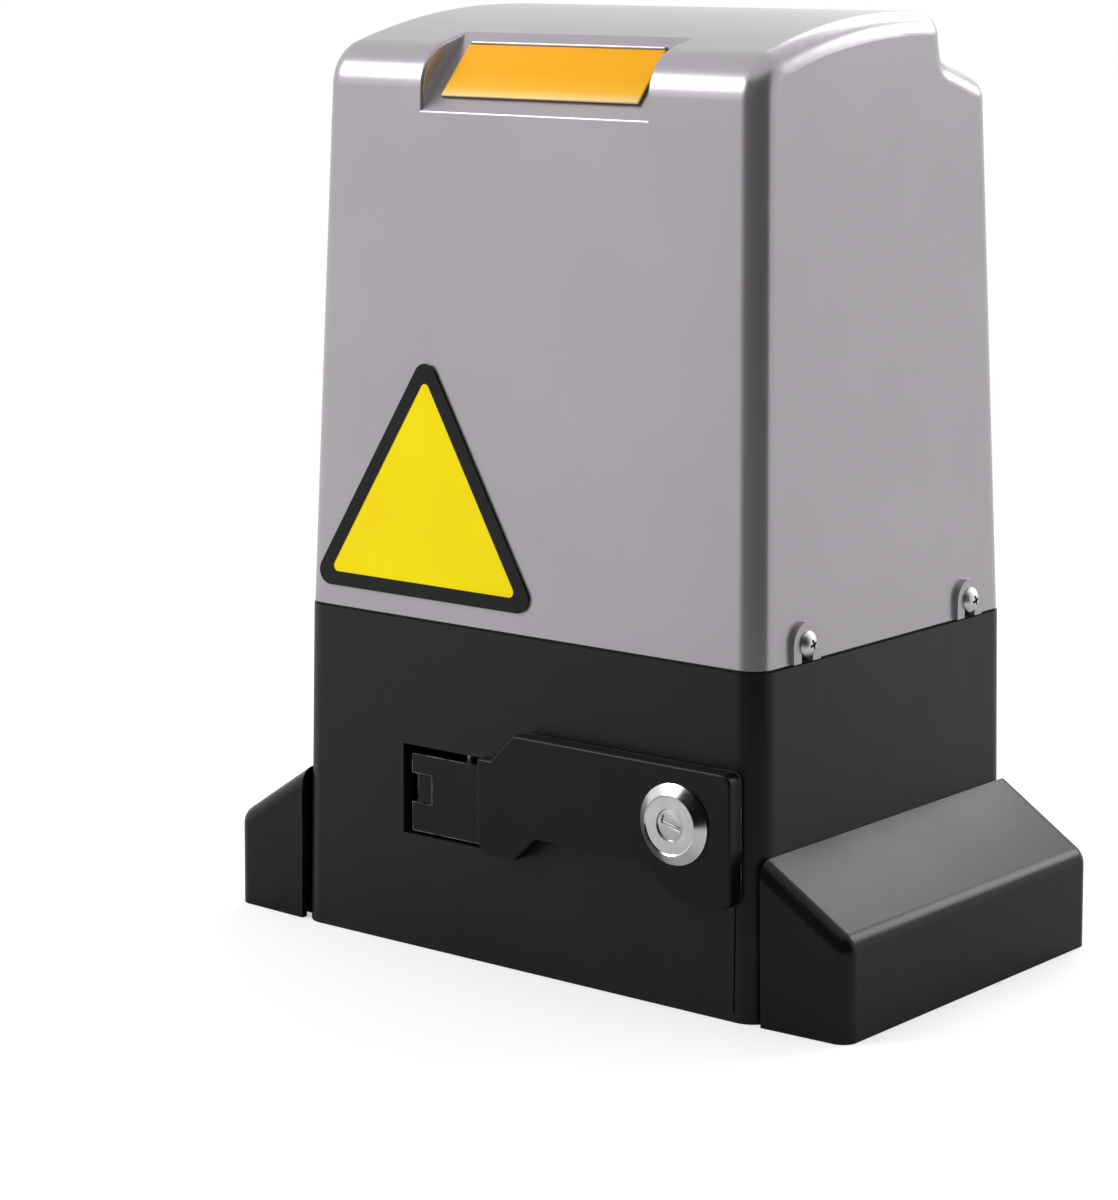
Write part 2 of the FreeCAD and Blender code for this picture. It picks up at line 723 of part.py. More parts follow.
def bearing_races(outer, bore, width):
    """Shielded ball bearing on +Z, from z = 0: outer race with both shields, and inner race."""
    race = (outer - bore) * 0.24
    outer_race = rod_z(0, 0, outer, 0, width).cut(rod_z(0, 0, outer - race, -1, width + 1))
    shield_radius = bore + race + running_gap
    for z in (0.6, width - 1.2):
        shield = rod_z(0, 0, outer - race + 0.2, z, z + 0.6).cut(rod_z(0, 0, shield_radius, z - 1, z + 2))
        outer_race = outer_race.fuse(shield)
    inner_race = rod_z(0, 0, bore + race, 0, width).cut(rod_z(0, 0, bore, -1, width + 1))
    return outer_race.removeSplitter(), inner_race


def along_y(shape, y):
    copy = shape.copy()
    copy.Placement = FreeCAD.Placement(Vector(shaft_x, y, shaft_z), Rotation(Vector(0, 0, 1), Vector(0, 1, 0)))
    return copy


def along_z(shape, z):
    return shape.translated(Vector(motor_x, motor_y, z))


# ------------------------------------------------------------------ gears
def ruled_helix(section, lead, turns, steps):
    """Solid swept along a helix on +Z: the closed (radius, height) section is repeated every 1/steps turn."""
    wires = []
    for i in range(turns * steps + 1):
        angle = 2 * math.pi * i / steps
        rise = lead * i / steps
        points = [Vector(r * math.cos(angle), r * math.sin(angle), z + rise) for r, z in section]
        wires.append(Part.makePolygon(points + points[:1]))
    return Part.makeLoft(wires, True, True)


def tooth_flank(base, start, end, pitch_half_angle, sign, steps):
    """Points of one involute flank, from radius start to end."""
    inv = math.tan(math.radians(pressure_angle)) - math.radians(pressure_angle)
    points = []
    for i in range(steps + 1):
        radius = max(start + (end - start) * i / steps, base)
        alpha = math.acos(base / radius)
        angle = sign * (pitch_half_angle + inv - (math.tan(alpha) - alpha))
        points.append(Vector(radius * math.cos(angle), radius * math.sin(angle), 0))
    return points


def gear_wire(module, teeth, backlash, tip_cut, steps=3):
    """Spur gear outline in the XY plane, one tooth centred on +X."""
    pitch = module * teeth / 2
    base = pitch * math.cos(math.radians(pressure_angle))
    tip = pitch + module - tip_cut
    root = pitch - 1.25 * module
    half = math.pi / (2 * teeth) - backlash / (2 * pitch)
    start = max(base, root) + 0.02
    right = tooth_flank(base, start, tip, half, -1, steps)
    left = tooth_flank(base, start, tip, half, 1, steps)
    edges = []
    spin = Rotation(Vector(0, 0, 1), 360 / teeth)
    turn = Rotation()
    gap_angle = math.pi / teeth
    for i in range(teeth):
        up = [turn.multVec(p) for p in right]
        down = [turn.multVec(p) for p in reversed(left)]
        root_in = turn.multVec(right[0] * (root / right[0].Length))
        root_out = turn.multVec(left[0] * (root / left[0].Length))
        next_root = (turn * spin).multVec(right[0] * (root / right[0].Length))
        middle = turn.multVec(Vector(root * math.cos(gap_angle), root * math.sin(gap_angle), 0))
        rise = Part.BSplineCurve()
        rise.interpolate(up)
        fall = Part.BSplineCurve()
        fall.interpolate(down)
        tip_middle = turn.multVec(Vector(tip, 0, 0))
        edges += [Part.makeLine(root_in, up[0]), rise.toShape(), Part.Arc(up[-1], tip_middle, down[0]).toShape(),
                  fall.toShape(), Part.makeLine(down[-1], root_out), Part.Arc(root_out, middle, next_root).toShape()]
        turn = turn * spin
    return Part.Wire(edges)


def make_output_gear():
    wire = gear_wire(rear_gear_module, rear_gear_teeth, 0.2, 0)
    gear = along_y(Part.Face(wire).extrude(Vector(0, 0, rear_gear_width)), gear_front_y)
    bore = rod_y(shaft_x, shaft_z, shaft_radius, gear_front_y - 1, gear_rear_y + 1)
    key_way = box(shaft_x - key_width / 2, shaft_x + key_width / 2, gear_front_y - 1, gear_rear_y + 1,
                  shaft_z, shaft_z + shaft_radius + key_height * 0.45)
    return gear.cut([bore, key_way])


def make_worm_wheel():
    """Helical bronze wheel with the fixed half of the dog clutch on its rear face."""
    lead_angle = math.atan(wheel_module / (2 * worm_pitch_radius))
    twist = math.degrees(wheel_width * math.tan(lead_angle) / wheel_pitch_radius)
    flat = gear_wire(wheel_module, wheel_teeth, mesh_backlash, 0.1, steps=2)
    sections = []
    for end in (-1, 1):
        wire = flat.copy()
        # a half-tooth turn puts a tooth space towards the worm
        wire.rotate(Vector(0, 0, 0), Vector(0, 0, 1), 180 / wheel_teeth)
        wire.rotate(Vector(0, 0, 0), Vector(0, 0, 1), end * twist / 2)
        wire.Placement = FreeCAD.Placement(Vector(shaft_x, wheel_centre_y + end * wheel_width / 2, shaft_z),
                                           Rotation(Vector(1, 0, 0), -90)).multiply(wire.Placement)
        sections.append(wire)
    blank = Part.makeLoft(sections, True, True)
    rear_y = wheel_centre_y + wheel_width / 2
    dogs = dog_sectors(ring_radius, rear_y - 0.5, rear_y + dog_height, 0)
    wheel = union(blank, *dogs)
    front_y = wheel_centre_y - wheel_width / 2
    groove = rod_y(shaft_x, shaft_z, wheel_pitch_radius - 7, front_y - 1, front_y + 3).cut(
        rod_y(shaft_x, shaft_z, shaft_radius + 6, front_y - 2, front_y + 4))
    bore = rod_y(shaft_x, shaft_z, shaft_radius + running_gap, front_y - 1, rear_y + dog_height + 1)
    return wheel.cut([groove, bore])


def dog_sectors(radius, y0, y1, start_angle):
    """Clutch dogs: ring sectors a little narrower than the gaps between them."""
    span = 360 / dog_count / 2 - 4
    ring = Part.makeCylinder(radius, y1 - y0, Vector(shaft_x, y0, shaft_z), Vector(0, 1, 0), span)
    ring = ring.cut(rod_y(shaft_x, shaft_z, shaft_radius + 1.2, y0 - 1, y1 + 1))
    return [turned(ring, start_angle + 360 / dog_count * i, shaft_axis, Vector(0, 1, 0)) for i in range(dog_count)]


def make_worm_shaft():
    """Rotor shaft with the worm cut on it; the thread runs out at both ends of the worm."""
    lead = math.pi * wheel_module
    flank = math.tan(math.radians(pressure_angle))
    tip = worm_pitch_radius + wheel_module - 0.1
    root = worm_pitch_radius - 1.2 * wheel_module
    half_pitch = (lead / 2 - mesh_backlash) / 2
    sunk = root - 0.4
    half_root = half_pitch + (worm_pitch_radius - sunk) * flank
    half_tip = half_pitch - (tip - worm_pitch_radius) * flank
    turns = math.floor(worm_length / lead)
    # thread crest faces the wheel's tooth space at the shaft's height
    start_z = shaft_z - lead / 2 - lead * turns / 2 + (0 if turns % 2 == 0 else lead / 2)
    section = [(sunk, -half_root), (tip, -half_tip), (tip, half_tip), (sunk, half_root)]
    thread = ruled_helix(section, lead, turns, 20)
    thread.translate(Vector(motor_x, motor_y, start_z))
    worm_bottom = shaft_z - worm_length / 2
    worm_top = shaft_z + worm_length / 2
    core = rod_z(motor_x, motor_y, root, worm_bottom - 3, worm_top + 3)
    tail_bottom = chamber_floor_z - tail_bearing_width
    tail = rod_z(motor_x, motor_y, tail_shaft_radius, tail_bottom, worm_bottom)
    neck = rod_z(motor_x, motor_y, motor_shaft_radius, worm_top, upper_bearing_z() + motor_bearing_width + 2)
    return union(core, tail, neck).fuse(thread)


# ------------------------------------------------------------------ output shaft set
def key_seat(y0, y1):
    return box(shaft_x - key_width / 2, shaft_x + key_width / 2, y0, y1,
               shaft_z + shaft_radius - key_height * 0.55, shaft_z + shaft_radius + 2)


def clutch_ring_y():
    return wheel_centre_y + wheel_width / 2 + dog_height + fit_gap


def pin_y():
    return clutch_ring_y() + ring_length / 2


def make_output_shaft():
    shaft = rod_y(shaft_x, shaft_z, shaft_radius, shaft_front_y, gear_rear_y)
    collar = rod_y(shaft_x, shaft_z, shaft_radius + 4, base_half_depth(shaft_z) + 0.5, gear_front_y)
    shoulder = rod_y(shaft_x, shaft_z, shaft_radius + 2.5, chamber_rear_y - 3, chamber_rear_y)
    front_shoulder = rod_y(shaft_x, shaft_z, shaft_radius + 2.5, chamber_front_y, wheel_centre_y - wheel_width / 2)
    bore_end = pin_y() + release_travel + pin_radius + 3
    cuts = [rod_y(shaft_x, shaft_z, rod_bore_radius, shaft_front_y - 1, bore_end),
            box(shaft_x - pin_radius - 0.1, shaft_x + pin_radius + 0.1, pin_y() - pin_radius - fit_gap,
                pin_y() + release_travel + pin_radius + fit_gap,
                shaft_z - shaft_radius - 5, shaft_z + shaft_radius + 5),
            key_seat(gear_front_y, gear_rear_y + 1),
            rod_y(shaft_x, shaft_z, gear_bolt_radius, gear_rear_y - 22, gear_rear_y + 1)]
    return union(shaft, collar, shoulder, front_shoulder).cut(cuts)


def make_clutch_ring():
    y0 = clutch_ring_y()
    ring = rod_y(shaft_x, shaft_z, ring_radius, y0, y0 + ring_length)
    dogs = dog_sectors(ring_radius, y0 - dog_height + 0.2, y0 + 0.5, 360 / dog_count / 2)
    whole = union(ring, *dogs)
    bore = rod_y(shaft_x, shaft_z, shaft_radius + running_gap, y0 - dog_height - 1, y0 + ring_length + 1)
    pin_hole = rod_z(shaft_x, pin_y(), pin_radius, shaft_z - ring_radius - 1, shaft_z + ring_radius + 1)
    return whole.cut([bore, pin_hole])


def make_clutch_spring():
    """Compression spring around the shaft, from the clutch ring to the shaft's rear shoulder."""
    y0 = clutch_ring_y() + ring_length
    y1 = chamber_rear_y - 3
    coil_radius = shaft_radius + 2.2
    height = y1 - y0 - 2 * spring_wire_radius - 2 * running_gap
    wire_angles = [math.pi / 3 * i for i in range(6)]
    section = [(coil_radius + spring_wire_radius * math.cos(a), spring_wire_radius * math.sin(a)) for a in wire_angles]
    spring = ruled_helix(section, height / spring_turns, spring_turns, 16)
    return along_y(spring, y0 + spring_wire_radius + running_gap)


def make_release_rod():
    tip_y = hinge_y + cam_radius + fit_gap
    rod = rod_y(shaft_x, shaft_z, rod_radius, tip_y + rod_radius, pin_y() + pin_radius + 2)
    tip = Part.makeSphere(rod_radius, Vector(shaft_x, tip_y + rod_radius, shaft_z))
    pin_hole = rod_z(shaft_x, pin_y(), pin_radius, shaft_z - 10, shaft_z + 10)
    return union(rod, tip).cut(pin_hole)


def make_oil_seal():
    y1 = base_half_depth(shaft_z) - 0.4
    y0 = y1 - seal_depth
    body = rod_y(shaft_x, shaft_z, seal_radius, y0, y1)
    pocket = rod_y(shaft_x, shaft_z, seal_radius - 3, y0 - 1, y1 - 2.5).cut(
        rod_y(shaft_x, shaft_z, shaft_radius + 2, y0 - 2, y1))
    return body.cut([pocket, rod_y(shaft_x, shaft_z, shaft_radius + running_gap, y0 - 1, y1 + 1)])


# ------------------------------------------------------------------ gearbox lid and motor
def lower_bearing_z():
    return lid_top_z - motor_bearing_width


def upper_bearing_z():
    return stator_bottom_z + stator_height + cap_top_height - 3


def make_lid():
    plate = upright_plate(lid_left_x, lid_right_x, lid_front_y, lid_rear_y, lid_z, lid_top_z, 6)
    boss = rod_z(motor_x, motor_y, lid_boss_radius, lower_bearing_z() - 3, lid_top_z)
    cuts = [rod_z(motor_x, motor_y, motor_bearing_radius, lower_bearing_z(), lid_top_z + 1),
            rod_z(motor_x, motor_y, motor_shaft_radius + 3, lid_z - 20, lid_top_z)]
    cuts += [rod_z(x, y, lid_screw_radius + 0.3, lid_z - 1, lid_top_z + 1) for x, y in lid_screw_places()]
    cuts += [rod_z(x, y, through_bolt_radius, lid_z + 1, lid_top_z + 1) for x, y in through_bolt_places()]
    return union(plate, boss).cut(cuts)


def make_gasket():
    outer = upright_plate(chamber_left_x - gearbox_wall, chamber_right_x + gearbox_wall,
                          front_web_y, rear_web_y, gearbox_top_z, lid_z, 5)
    inner = upright_plate(chamber_left_x, chamber_right_x, chamber_front_y, chamber_rear_y,
                          gearbox_top_z - 1, lid_z + 1, 6)
    holes = [rod_z(x, y, lid_screw_radius, gearbox_top_z - 1, lid_z + 1) for x, y in lid_screw_places()]
    return outer.cut([inner] + holes)


def make_lid_screws():
    screws = []
    for x, y in lid_screw_places():
        head = rod_z(x, y, 4.5, lid_top_z, lid_top_z + 4).cut(rod_z(x, y, 2, lid_top_z + 1.5, lid_top_z + 5))
        screws.append(union(head, rod_z(x, y, lid_screw_radius, gearbox_top_z - 12, lid_top_z + 0.5)))
    return Part.makeCompound(screws)


def through_bolt_places():
    return [(motor_x + through_bolt_circle * math.cos(math.radians(a)),
             motor_y + through_bolt_circle * math.sin(math.radians(a))) for a in (45, 135, 225, 315)]


def cap_ears(z0, z1):
    return [rod_z(x, y, 5.5, z0, z1) for x, y in through_bolt_places()]


def make_lower_cap():
    z0 = lid_top_z
    z1 = stator_bottom_z
    cup = rod_z(motor_x, motor_y, cap_radius, z0, z1)
    inside = rod_z(motor_x, motor_y, cap_radius - cap_wall, z0 + 3, z1 + 1)
    hole = rod_z(motor_x, motor_y, motor_bearing_radius - 2, z0 - 1, z0 + 4)
    holes = [rod_z(x, y, through_bolt_radius, z0 - 1, z1 + 1) for x, y in through_bolt_places()]
    return union(cup.cut([inside]), *[e.cut(inside) for e in cap_ears(z0, z1)]).cut([hole] + holes)


def make_upper_cap():
    z0 = stator_bottom_z + stator_height
    z1 = z0 + cap_top_height
    cup = rod_z(motor_x, motor_y, cap_radius, z0, z1)
    cup = cup.makeChamfer(5, [e for e in cup.Edges if e.CenterOfMass.z > z1 - 0.1])
    inside = rod_z(motor_x, motor_y, cap_radius - cap_wall, z0 - 1, z1 - 3)
    boss = rod_z(motor_x, motor_y, motor_bearing_radius + 3, z1 - 5, upper_bearing_z() + motor_bearing_width + 3)
    seat = rod_z(motor_x, motor_y, motor_bearing_radius, z1 - 6, upper_bearing_z() + motor_bearing_width)
    bore = rod_z(motor_x, motor_y, motor_shaft_radius + 2, z0, z1 + 30)
    holes = [rod_z(x, y, through_bolt_radius, z0 - 1, z1 + 1) for x, y in through_bolt_places()]
    ears = [e.cut(inside) for e in cap_ears(z0, z0 + 12)]
    return union(cup.cut(inside), boss, *ears).cut([seat, bore] + holes)


def make_through_bolts():
    bolts = []
    top = stator_bottom_z + stator_height + 12
    for x, y in through_bolt_places():
        shank = rod_z(x, y, through_bolt_radius, lid_z + 1, top + 0.5)
        head = hex_prism(8, Vector(x, y, top), Vector(0, 0, 3.5))
        bolts.append(union(shank, head))
    return Part.makeCompound(bolts)


def make_stator_core():
    z0 = stator_bottom_z
    z1 = z0 + stator_height
    core = rod_z(motor_x, motor_y, stator_radius, z0, z1)
    core = core.cut(rod_z(motor_x, motor_y, stator_bore, z0 - 1, z1 + 1))
    slot = box(motor_x + stator_bore + 2, motor_x + stator_radius - 6, motor_y - 2.6, motor_y + 2.6, z0 - 1, z1 + 1)
    mouth = box(motor_x + stator_bore - 1, motor_x + stator_bore + 3, motor_y - 1, motor_y + 1, z0 - 1, z1 + 1)
    axis_point = Vector(motor_x, motor_y, 0)
    cuts = around(slot.fuse(mouth), stator_slots, axis_point, Vector(0, 0, 1))
    return core.cut(cuts)


def make_windings():
    """The two end rings of the winding, rounded like taped coil ends."""
    rings = []
    inner = stator_bore + 3
    outer = stator_radius - 5
    stator_top_z = stator_bottom_z + stator_height
    for z0, z1 in ((stator_bottom_z - 10, stator_bottom_z), (stator_top_z, stator_top_z + 11)):
        ring = rod_z(motor_x, motor_y, outer, z0, z1).cut(rod_z(motor_x, motor_y, inner, z0 - 1, z1 + 1))
        far = z0 if z1 <= stator_bottom_z else z1
        rings.append(ring.makeChamfer(3, [e for e in ring.Edges if abs(e.CenterOfMass.z - far) < 0.1]))
    return Part.makeCompound(rings)


def make_rotor_core():
    z0 = stator_bottom_z
    z1 = z0 + stator_height
    radius = stator_bore - air_gap
    core = rod_z(motor_x, motor_y, radius, z0, z1)
    rings = [rod_z(motor_x, motor_y, radius - 1.5, z, z + 4) for z in (z0 - 4, z1)]
    fins = []
    for z in (z0 - 7, z1 + 4):
        fins += around(box(motor_x + 15, motor_x + radius - 2, motor_y - 1, motor_y + 1, z, z + 3), 6,
                       Vector(motor_x, motor_y, 0), Vector(0, 0, 1))
    return union(core, *rings, *fins).cut(rod_z(motor_x, motor_y, motor_shaft_radius, z0 - 10, z1 + 10))


# ------------------------------------------------------------------ release lever and lock
def make_release_lever():
    left = window_right_x - 8.5
    step = lever_top_z - 10.2
    narrow = lever_bottom_z + 10.3
    corners = [(left, step, 1), (left + 6, step, 0), (left + 16, lever_top_z, 2),
               (lever_right_x - 0.5, lever_top_z, 3.5), (lever_right_x, lever_bottom_z, 3.5),
               (lock_x - 2, lever_bottom_z, 2), (lock_x - 12, narrow, 2), (left + 25.5, narrow, 2),
               (left + 16.5, lever_bottom_z + 1.5, 1), (left + 2.5, lever_bottom_z + 1.5, 1),
               (left, lever_bottom_z + 5.5, 1)]

    def place(x, z):
        return Vector(x, lever_front_y, z)
    arm = prism(corners, place, Vector(0, lever_back_y - lever_front_y, 0))
    front_edges = [e for e in arm.Edges if all(abs(v.Y - lever_front_y) < 0.01 for v in e.Vertexes)]
    arm = arm.makeFillet(0.9, front_edges)
    hollow_corners = inset_corners(corners, lever_skin)
    hollow = prism([(x, z, 0) for x, z, r in hollow_corners],
                   lambda x, z: Vector(x, lever_front_y + lever_skin, z), Vector(0, 20, 0))
    solid_end = box(left - 1, left + 12, lever_front_y, lever_back_y, lever_bottom_z, lever_top_z)
    lock_boss = rod_y(lock_x, lock_z, barrel_radius + 6, lever_front_y + 1, lever_front_y + lever_skin + 0.5)
    arm = union(arm.cut(hollow.cut(solid_end)), lock_boss)
    # block in the window, with the hub and the cam that drives the release rod
    block_left = window_left_x + 3.3
    block_right = left + 7
    low = window_bottom_z + window_gap
    high = window_top_z - window_gap - 2.2
    skin = box(block_left, block_right, block_front_y, block_front_y + block_skin, low, high)
    skin = rounded(skin, 1.0, lambda e: e.CenterOfMass.x < block_left + 0.1 and not is_upright(e))
    ribs = [box(block_left + 2, block_right, block_front_y, hinge_y + 6, low, low + 4),
            box(block_left + 2, block_right, block_front_y, hinge_y + 6, high - 4, high)]
    bridge = box(left, block_right, lever_back_y - 1, block_front_y + block_skin, low + 1, high - 1)
    hub = rod_z(shaft_x, hinge_y, hub_radius, low, high)
    hub_tie = box(shaft_x - 3, shaft_x + 3, block_front_y + 1, hinge_y - hinge_pin_radius, low, high)
    notch_half = 5.2
    notch = box(block_left - 1, block_left + 2, block_front_y - 1, block_front_y + block_skin + 1,
                shaft_z - notch_half, shaft_z + notch_half)
    finger = box(block_left + 2, block_left + 9, block_front_y - 1, block_front_y + 0.8,
                 shaft_z - notch_half, shaft_z + notch_half)
    whole = union(arm, skin, *ribs, bridge, hub, hub_tie, make_cam())
    barrel_hole = rod_y(lock_x, lock_z, barrel_radius, lever_front_y - 1, lever_back_y + 1)
    pin_hole = rod_z(shaft_x, hinge_y, hinge_pin_radius + running_gap, 0, cover_bottom_z)
    return whole.cut([notch, finger, barrel_hole, pin_hole]).removeSplitter()


def cam_point(angle):
    """Edge of the cam in plan; it rises by the release travel over a quarter turn from +Y."""
    rise = min(max(angle - 90, 0), 90) / 90
    radius = cam_radius + release_travel * rise
    return Vector(shaft_x + radius * math.cos(math.radians(angle)), hinge_y + radius * math.sin(math.radians(angle)),
                  shaft_z - 5)


def make_cam():
    lobe = Part.BSplineCurve()
    lobe.interpolate([cam_point(90 + 90 * i / 4) for i in range(5)])
    start = cam_point(60)
    dwell = Part.Arc(start, cam_point(75), cam_point(90)).toShape()
    last = cam_point(180)
    end = Part.Arc(last, cam_point(188), cam_point(196)).toShape()
    hub_point = Vector(shaft_x, hinge_y, shaft_z - 5)
    back = Part.makeLine(cam_point(196), hub_point)
    wire = Part.Wire([dwell, lobe.toShape(), end, back, Part.makeLine(hub_point, start)])
    return Part.Face(wire).extrude(Vector(0, 0, 10))


def make_hinge_pin():
    low = window_bottom_z - window_gap - pocket_wall + 1
    high = window_top_z + window_gap + pocket_wall
    return rod_z(shaft_x, hinge_y, hinge_pin_radius, low, high)


def make_lock_body():
    """Rosette with its domed rim and flat ring, and the barrel behind it."""
    front = lever_front_y - rosette_height
    bore_radius = plug_radius + running_gap
    half_profile = [(bore_radius, lever_front_y), (rosette_radius, lever_front_y),
                    (rosette_radius, lever_front_y - 0.8), (10.2, front), (9.7, front + 0.35),
                    (bore_radius, front + 0.35)]
    points = [Vector(lock_x + r, y, lock_z) for r, y in half_profile]
    profile = Part.Face(Part.makePolygon(points + points[:1]))
    rosette = profile.revolve(Vector(lock_x, 0, lock_z), Vector(0, 1, 0), 360)
    barrel = rod_y(lock_x, lock_z, barrel_radius, lever_front_y - 0.5, barrel_rear_y)
    bore = rod_y(lock_x, lock_z, bore_radius, lever_front_y - 10, barrel_rear_y + 1)
    return union(rosette, barrel).cut(bore)


def make_lock_plug():
    front = lever_front_y - rosette_height + 0.5
    plug = rod_y(lock_x, lock_z, plug_radius, front, barrel_rear_y)
    square = box(lock_x - 3, lock_x + 3, barrel_rear_y - 0.5, barrel_rear_y + tongue_thickness + 0.5,
                 lock_z - 3, lock_z + 3)
    slot = box(lock_x - 4.6, lock_x + 4.6, front - 1, front + 4, lock_z - 0.7, lock_z + 0.7)
    slot = turned(slot, -13, Vector(lock_x, 0, lock_z), Vector(0, 1, 0))
    stem = rod_y(lock_x, lock_z, 2, barrel_rear_y + tongue_thickness, barrel_rear_y + tongue_thickness + 4)
    return union(plug, square, stem).cut(slot)


def make_lock_tongue():
    y0 = barrel_rear_y + running_gap
    y1 = y0 + tongue_thickness
    r = tongue_half_width
    plate = box(lock_x - tongue_length + r, lock_x, y0, y1, lock_z - r, lock_z + r)
    end = rod_y(lock_x - tongue_length + r, lock_z, r, y0, y1)
    head = rod_y(lock_x, lock_z, barrel_radius - 1, y0, y1)
    square = box(lock_x - 3, lock_x + 3, y0 - 1, y1 + 1, lock_z - 3, lock_z + 3)
    return union(plate, end, head).cut(square)


def make_lock_nut():
    y0 = lever_front_y + lever_skin + 0.5
    nut = hex_prism(24, Vector(lock_x, y0, lock_z), Vector(0, 2.4, 0))
    return nut.cut(rod_y(lock_x, lock_z, barrel_radius, y0 - 1, y0 + 10))


# ------------------------------------------------------------------ electrics
def bracket_y():
    return board_front_y + board_thickness + board_spacer


def board_screw_places():
    return [(x, z) for x in (board_left_x + 6, board_right_x - 6) for z in (board_bottom_z + 6, board_top_z - 6)]


def make_board_bracket():
    y0 = bracket_y()
    plate = box(board_left_x - 2, board_right_x + 2, y0, y0 + bracket_thickness, lid_top_z, board_top_z + 4)
    foot = box(board_left_x - 2, board_right_x + 2, y0, lid_front_y + 6, lid_top_z, lid_top_z + bracket_thickness)
    window = box(board_left_x + 14, board_right_x - 14, y0 - 1, y0 + 5, board_bottom_z + 16, board_top_z - 16)
    holes = [rod_y(x, z, 1.5, y0 - 1, y0 + 5) for x, z in board_screw_places()]
    holes += [rod_z(x, lid_front_y + 7, 5.2, lid_top_z - 1, lid_top_z + 5) for x in (lid_left_x + 7, lid_right_x - 7)]
    motor_room = rod_z(motor_x, motor_y, cap_radius + 1, lid_top_z - 1, lid_top_z + 5)
    return union(plate, foot).cut([window, motor_room] + holes)


def make_board():
    board = box(board_left_x, board_right_x, board_front_y, board_front_y + board_thickness,
                board_bottom_z, board_top_z)
    board = board.makeFillet(3, [e for e in board.Edges if abs(e.Vertexes[0].Y - e.Vertexes[-1].Y) > 1])
    return board.cut([rod_y(x, z, 1.6, board_front_y - 1, board_front_y + 5) for x, z in board_screw_places()])


def make_board_screws():
    screws = []
    for x, z in board_screw_places():
        head = rod_y(x, z, 3, board_front_y - 2, board_front_y)
        spacer = rod_y(x, z, 3, board_front_y + board_thickness, bracket_y())
        shank = rod_y(x, z, 1.5, board_front_y - 0.5, bracket_y() + bracket_thickness)
        screws.append(union(head, spacer, shank))
    return Part.makeCompound(screws)


def make_relays():
    relays = []
    for i in range(3):
        x = board_left_x + 16 + i * 22
        block = box(x, x + 18, board_front_y - 12, board_front_y, board_top_z - 32, board_top_z - 14)
        relays.append(rounded(block, 1, lambda e: e.CenterOfMass.y < board_front_y - 11.9))
    return Part.makeCompound(relays)


def make_terminal_blocks():
    blocks = []
    for x0, count in ((board_left_x + 14, 6), (board_left_x + 64, 8)):
        pitch = 6.5
        z0 = board_bottom_z + 3
        block = box(x0, x0 + count * pitch, board_front_y - 11, board_front_y, z0, z0 + 11)
        mouths = []
        for i in range(count):
            x = x0 + pitch * (i + 0.5)
            mouths.append(box(x - 2, x + 2, board_front_y - 8, board_front_y - 4, z0 - 1, z0 + 4))
            mouths.append(rod_y(x, z0 + 6.5, 1.8, board_front_y - 12, board_front_y - 9))
        blocks.append(block.cut(mouths))
    return Part.makeCompound(blocks)


def make_transformer():
    x0 = board_right_x - 44
    z0 = board_top_z - 52
    core = box(x0, x0 + 36, board_front_y - 13, board_front_y, z0, z0 + 30)
    return rounded(core, 1.5, lambda e: e.CenterOfMass.y < board_front_y - 12.9)


def make_fuse():
    x0 = board_left_x + 16
    z = board_bottom_z + 32
    holder = box(x0, x0 + 26, board_front_y - 5, board_front_y, z - 4, z + 4)
    tube = rod_x(z=z, y=board_front_y - 6, radius=3, x0=x0 + 2, x1=x0 + 24)
    return union(holder, tube)


def make_receiver():
    x0 = board_left_x + 52
    z0 = board_bottom_z + 28
    block = box(x0, x0 + 30, board_front_y - 8, board_front_y, z0, z0 + 16)
    return rounded(block, 1, lambda e: e.CenterOfMass.y < board_front_y - 7.9)


def make_capacitor():
    z0 = lid_top_z
    can = rod_z(capacitor_x, capacitor_y, capacitor_radius, z0, z0 + capacitor_height)
    can = can.makeChamfer(1.5, can.Edges)
    tabs = [box(capacitor_x + dx - 0.4, capacitor_x + dx + 0.4, capacitor_y - 3, capacitor_y + 3,
                z0 + capacitor_height - 1, z0 + capacitor_height + 8) for dx in (-5, 5)]
    return union(can, *tabs)


def make_capacitor_clamp():
    z0 = lid_top_z + 18
    band = rod_z(capacitor_x, capacitor_y, capacitor_radius + 1.2, z0, z0 + 12).cut(
        rod_z(capacitor_x, capacitor_y, capacitor_radius, z0 - 1, z0 + 20))
    leg_x = capacitor_x - capacitor_radius - 1.6
    leg = box(leg_x, leg_x + 1.5, capacitor_y - 6, capacitor_y + 6, lid_top_z, z0 + 12)
    return union(band, leg.cut(rod_z(capacitor_x, capacitor_y, capacitor_radius, z0 - 1, z0 + 20)))


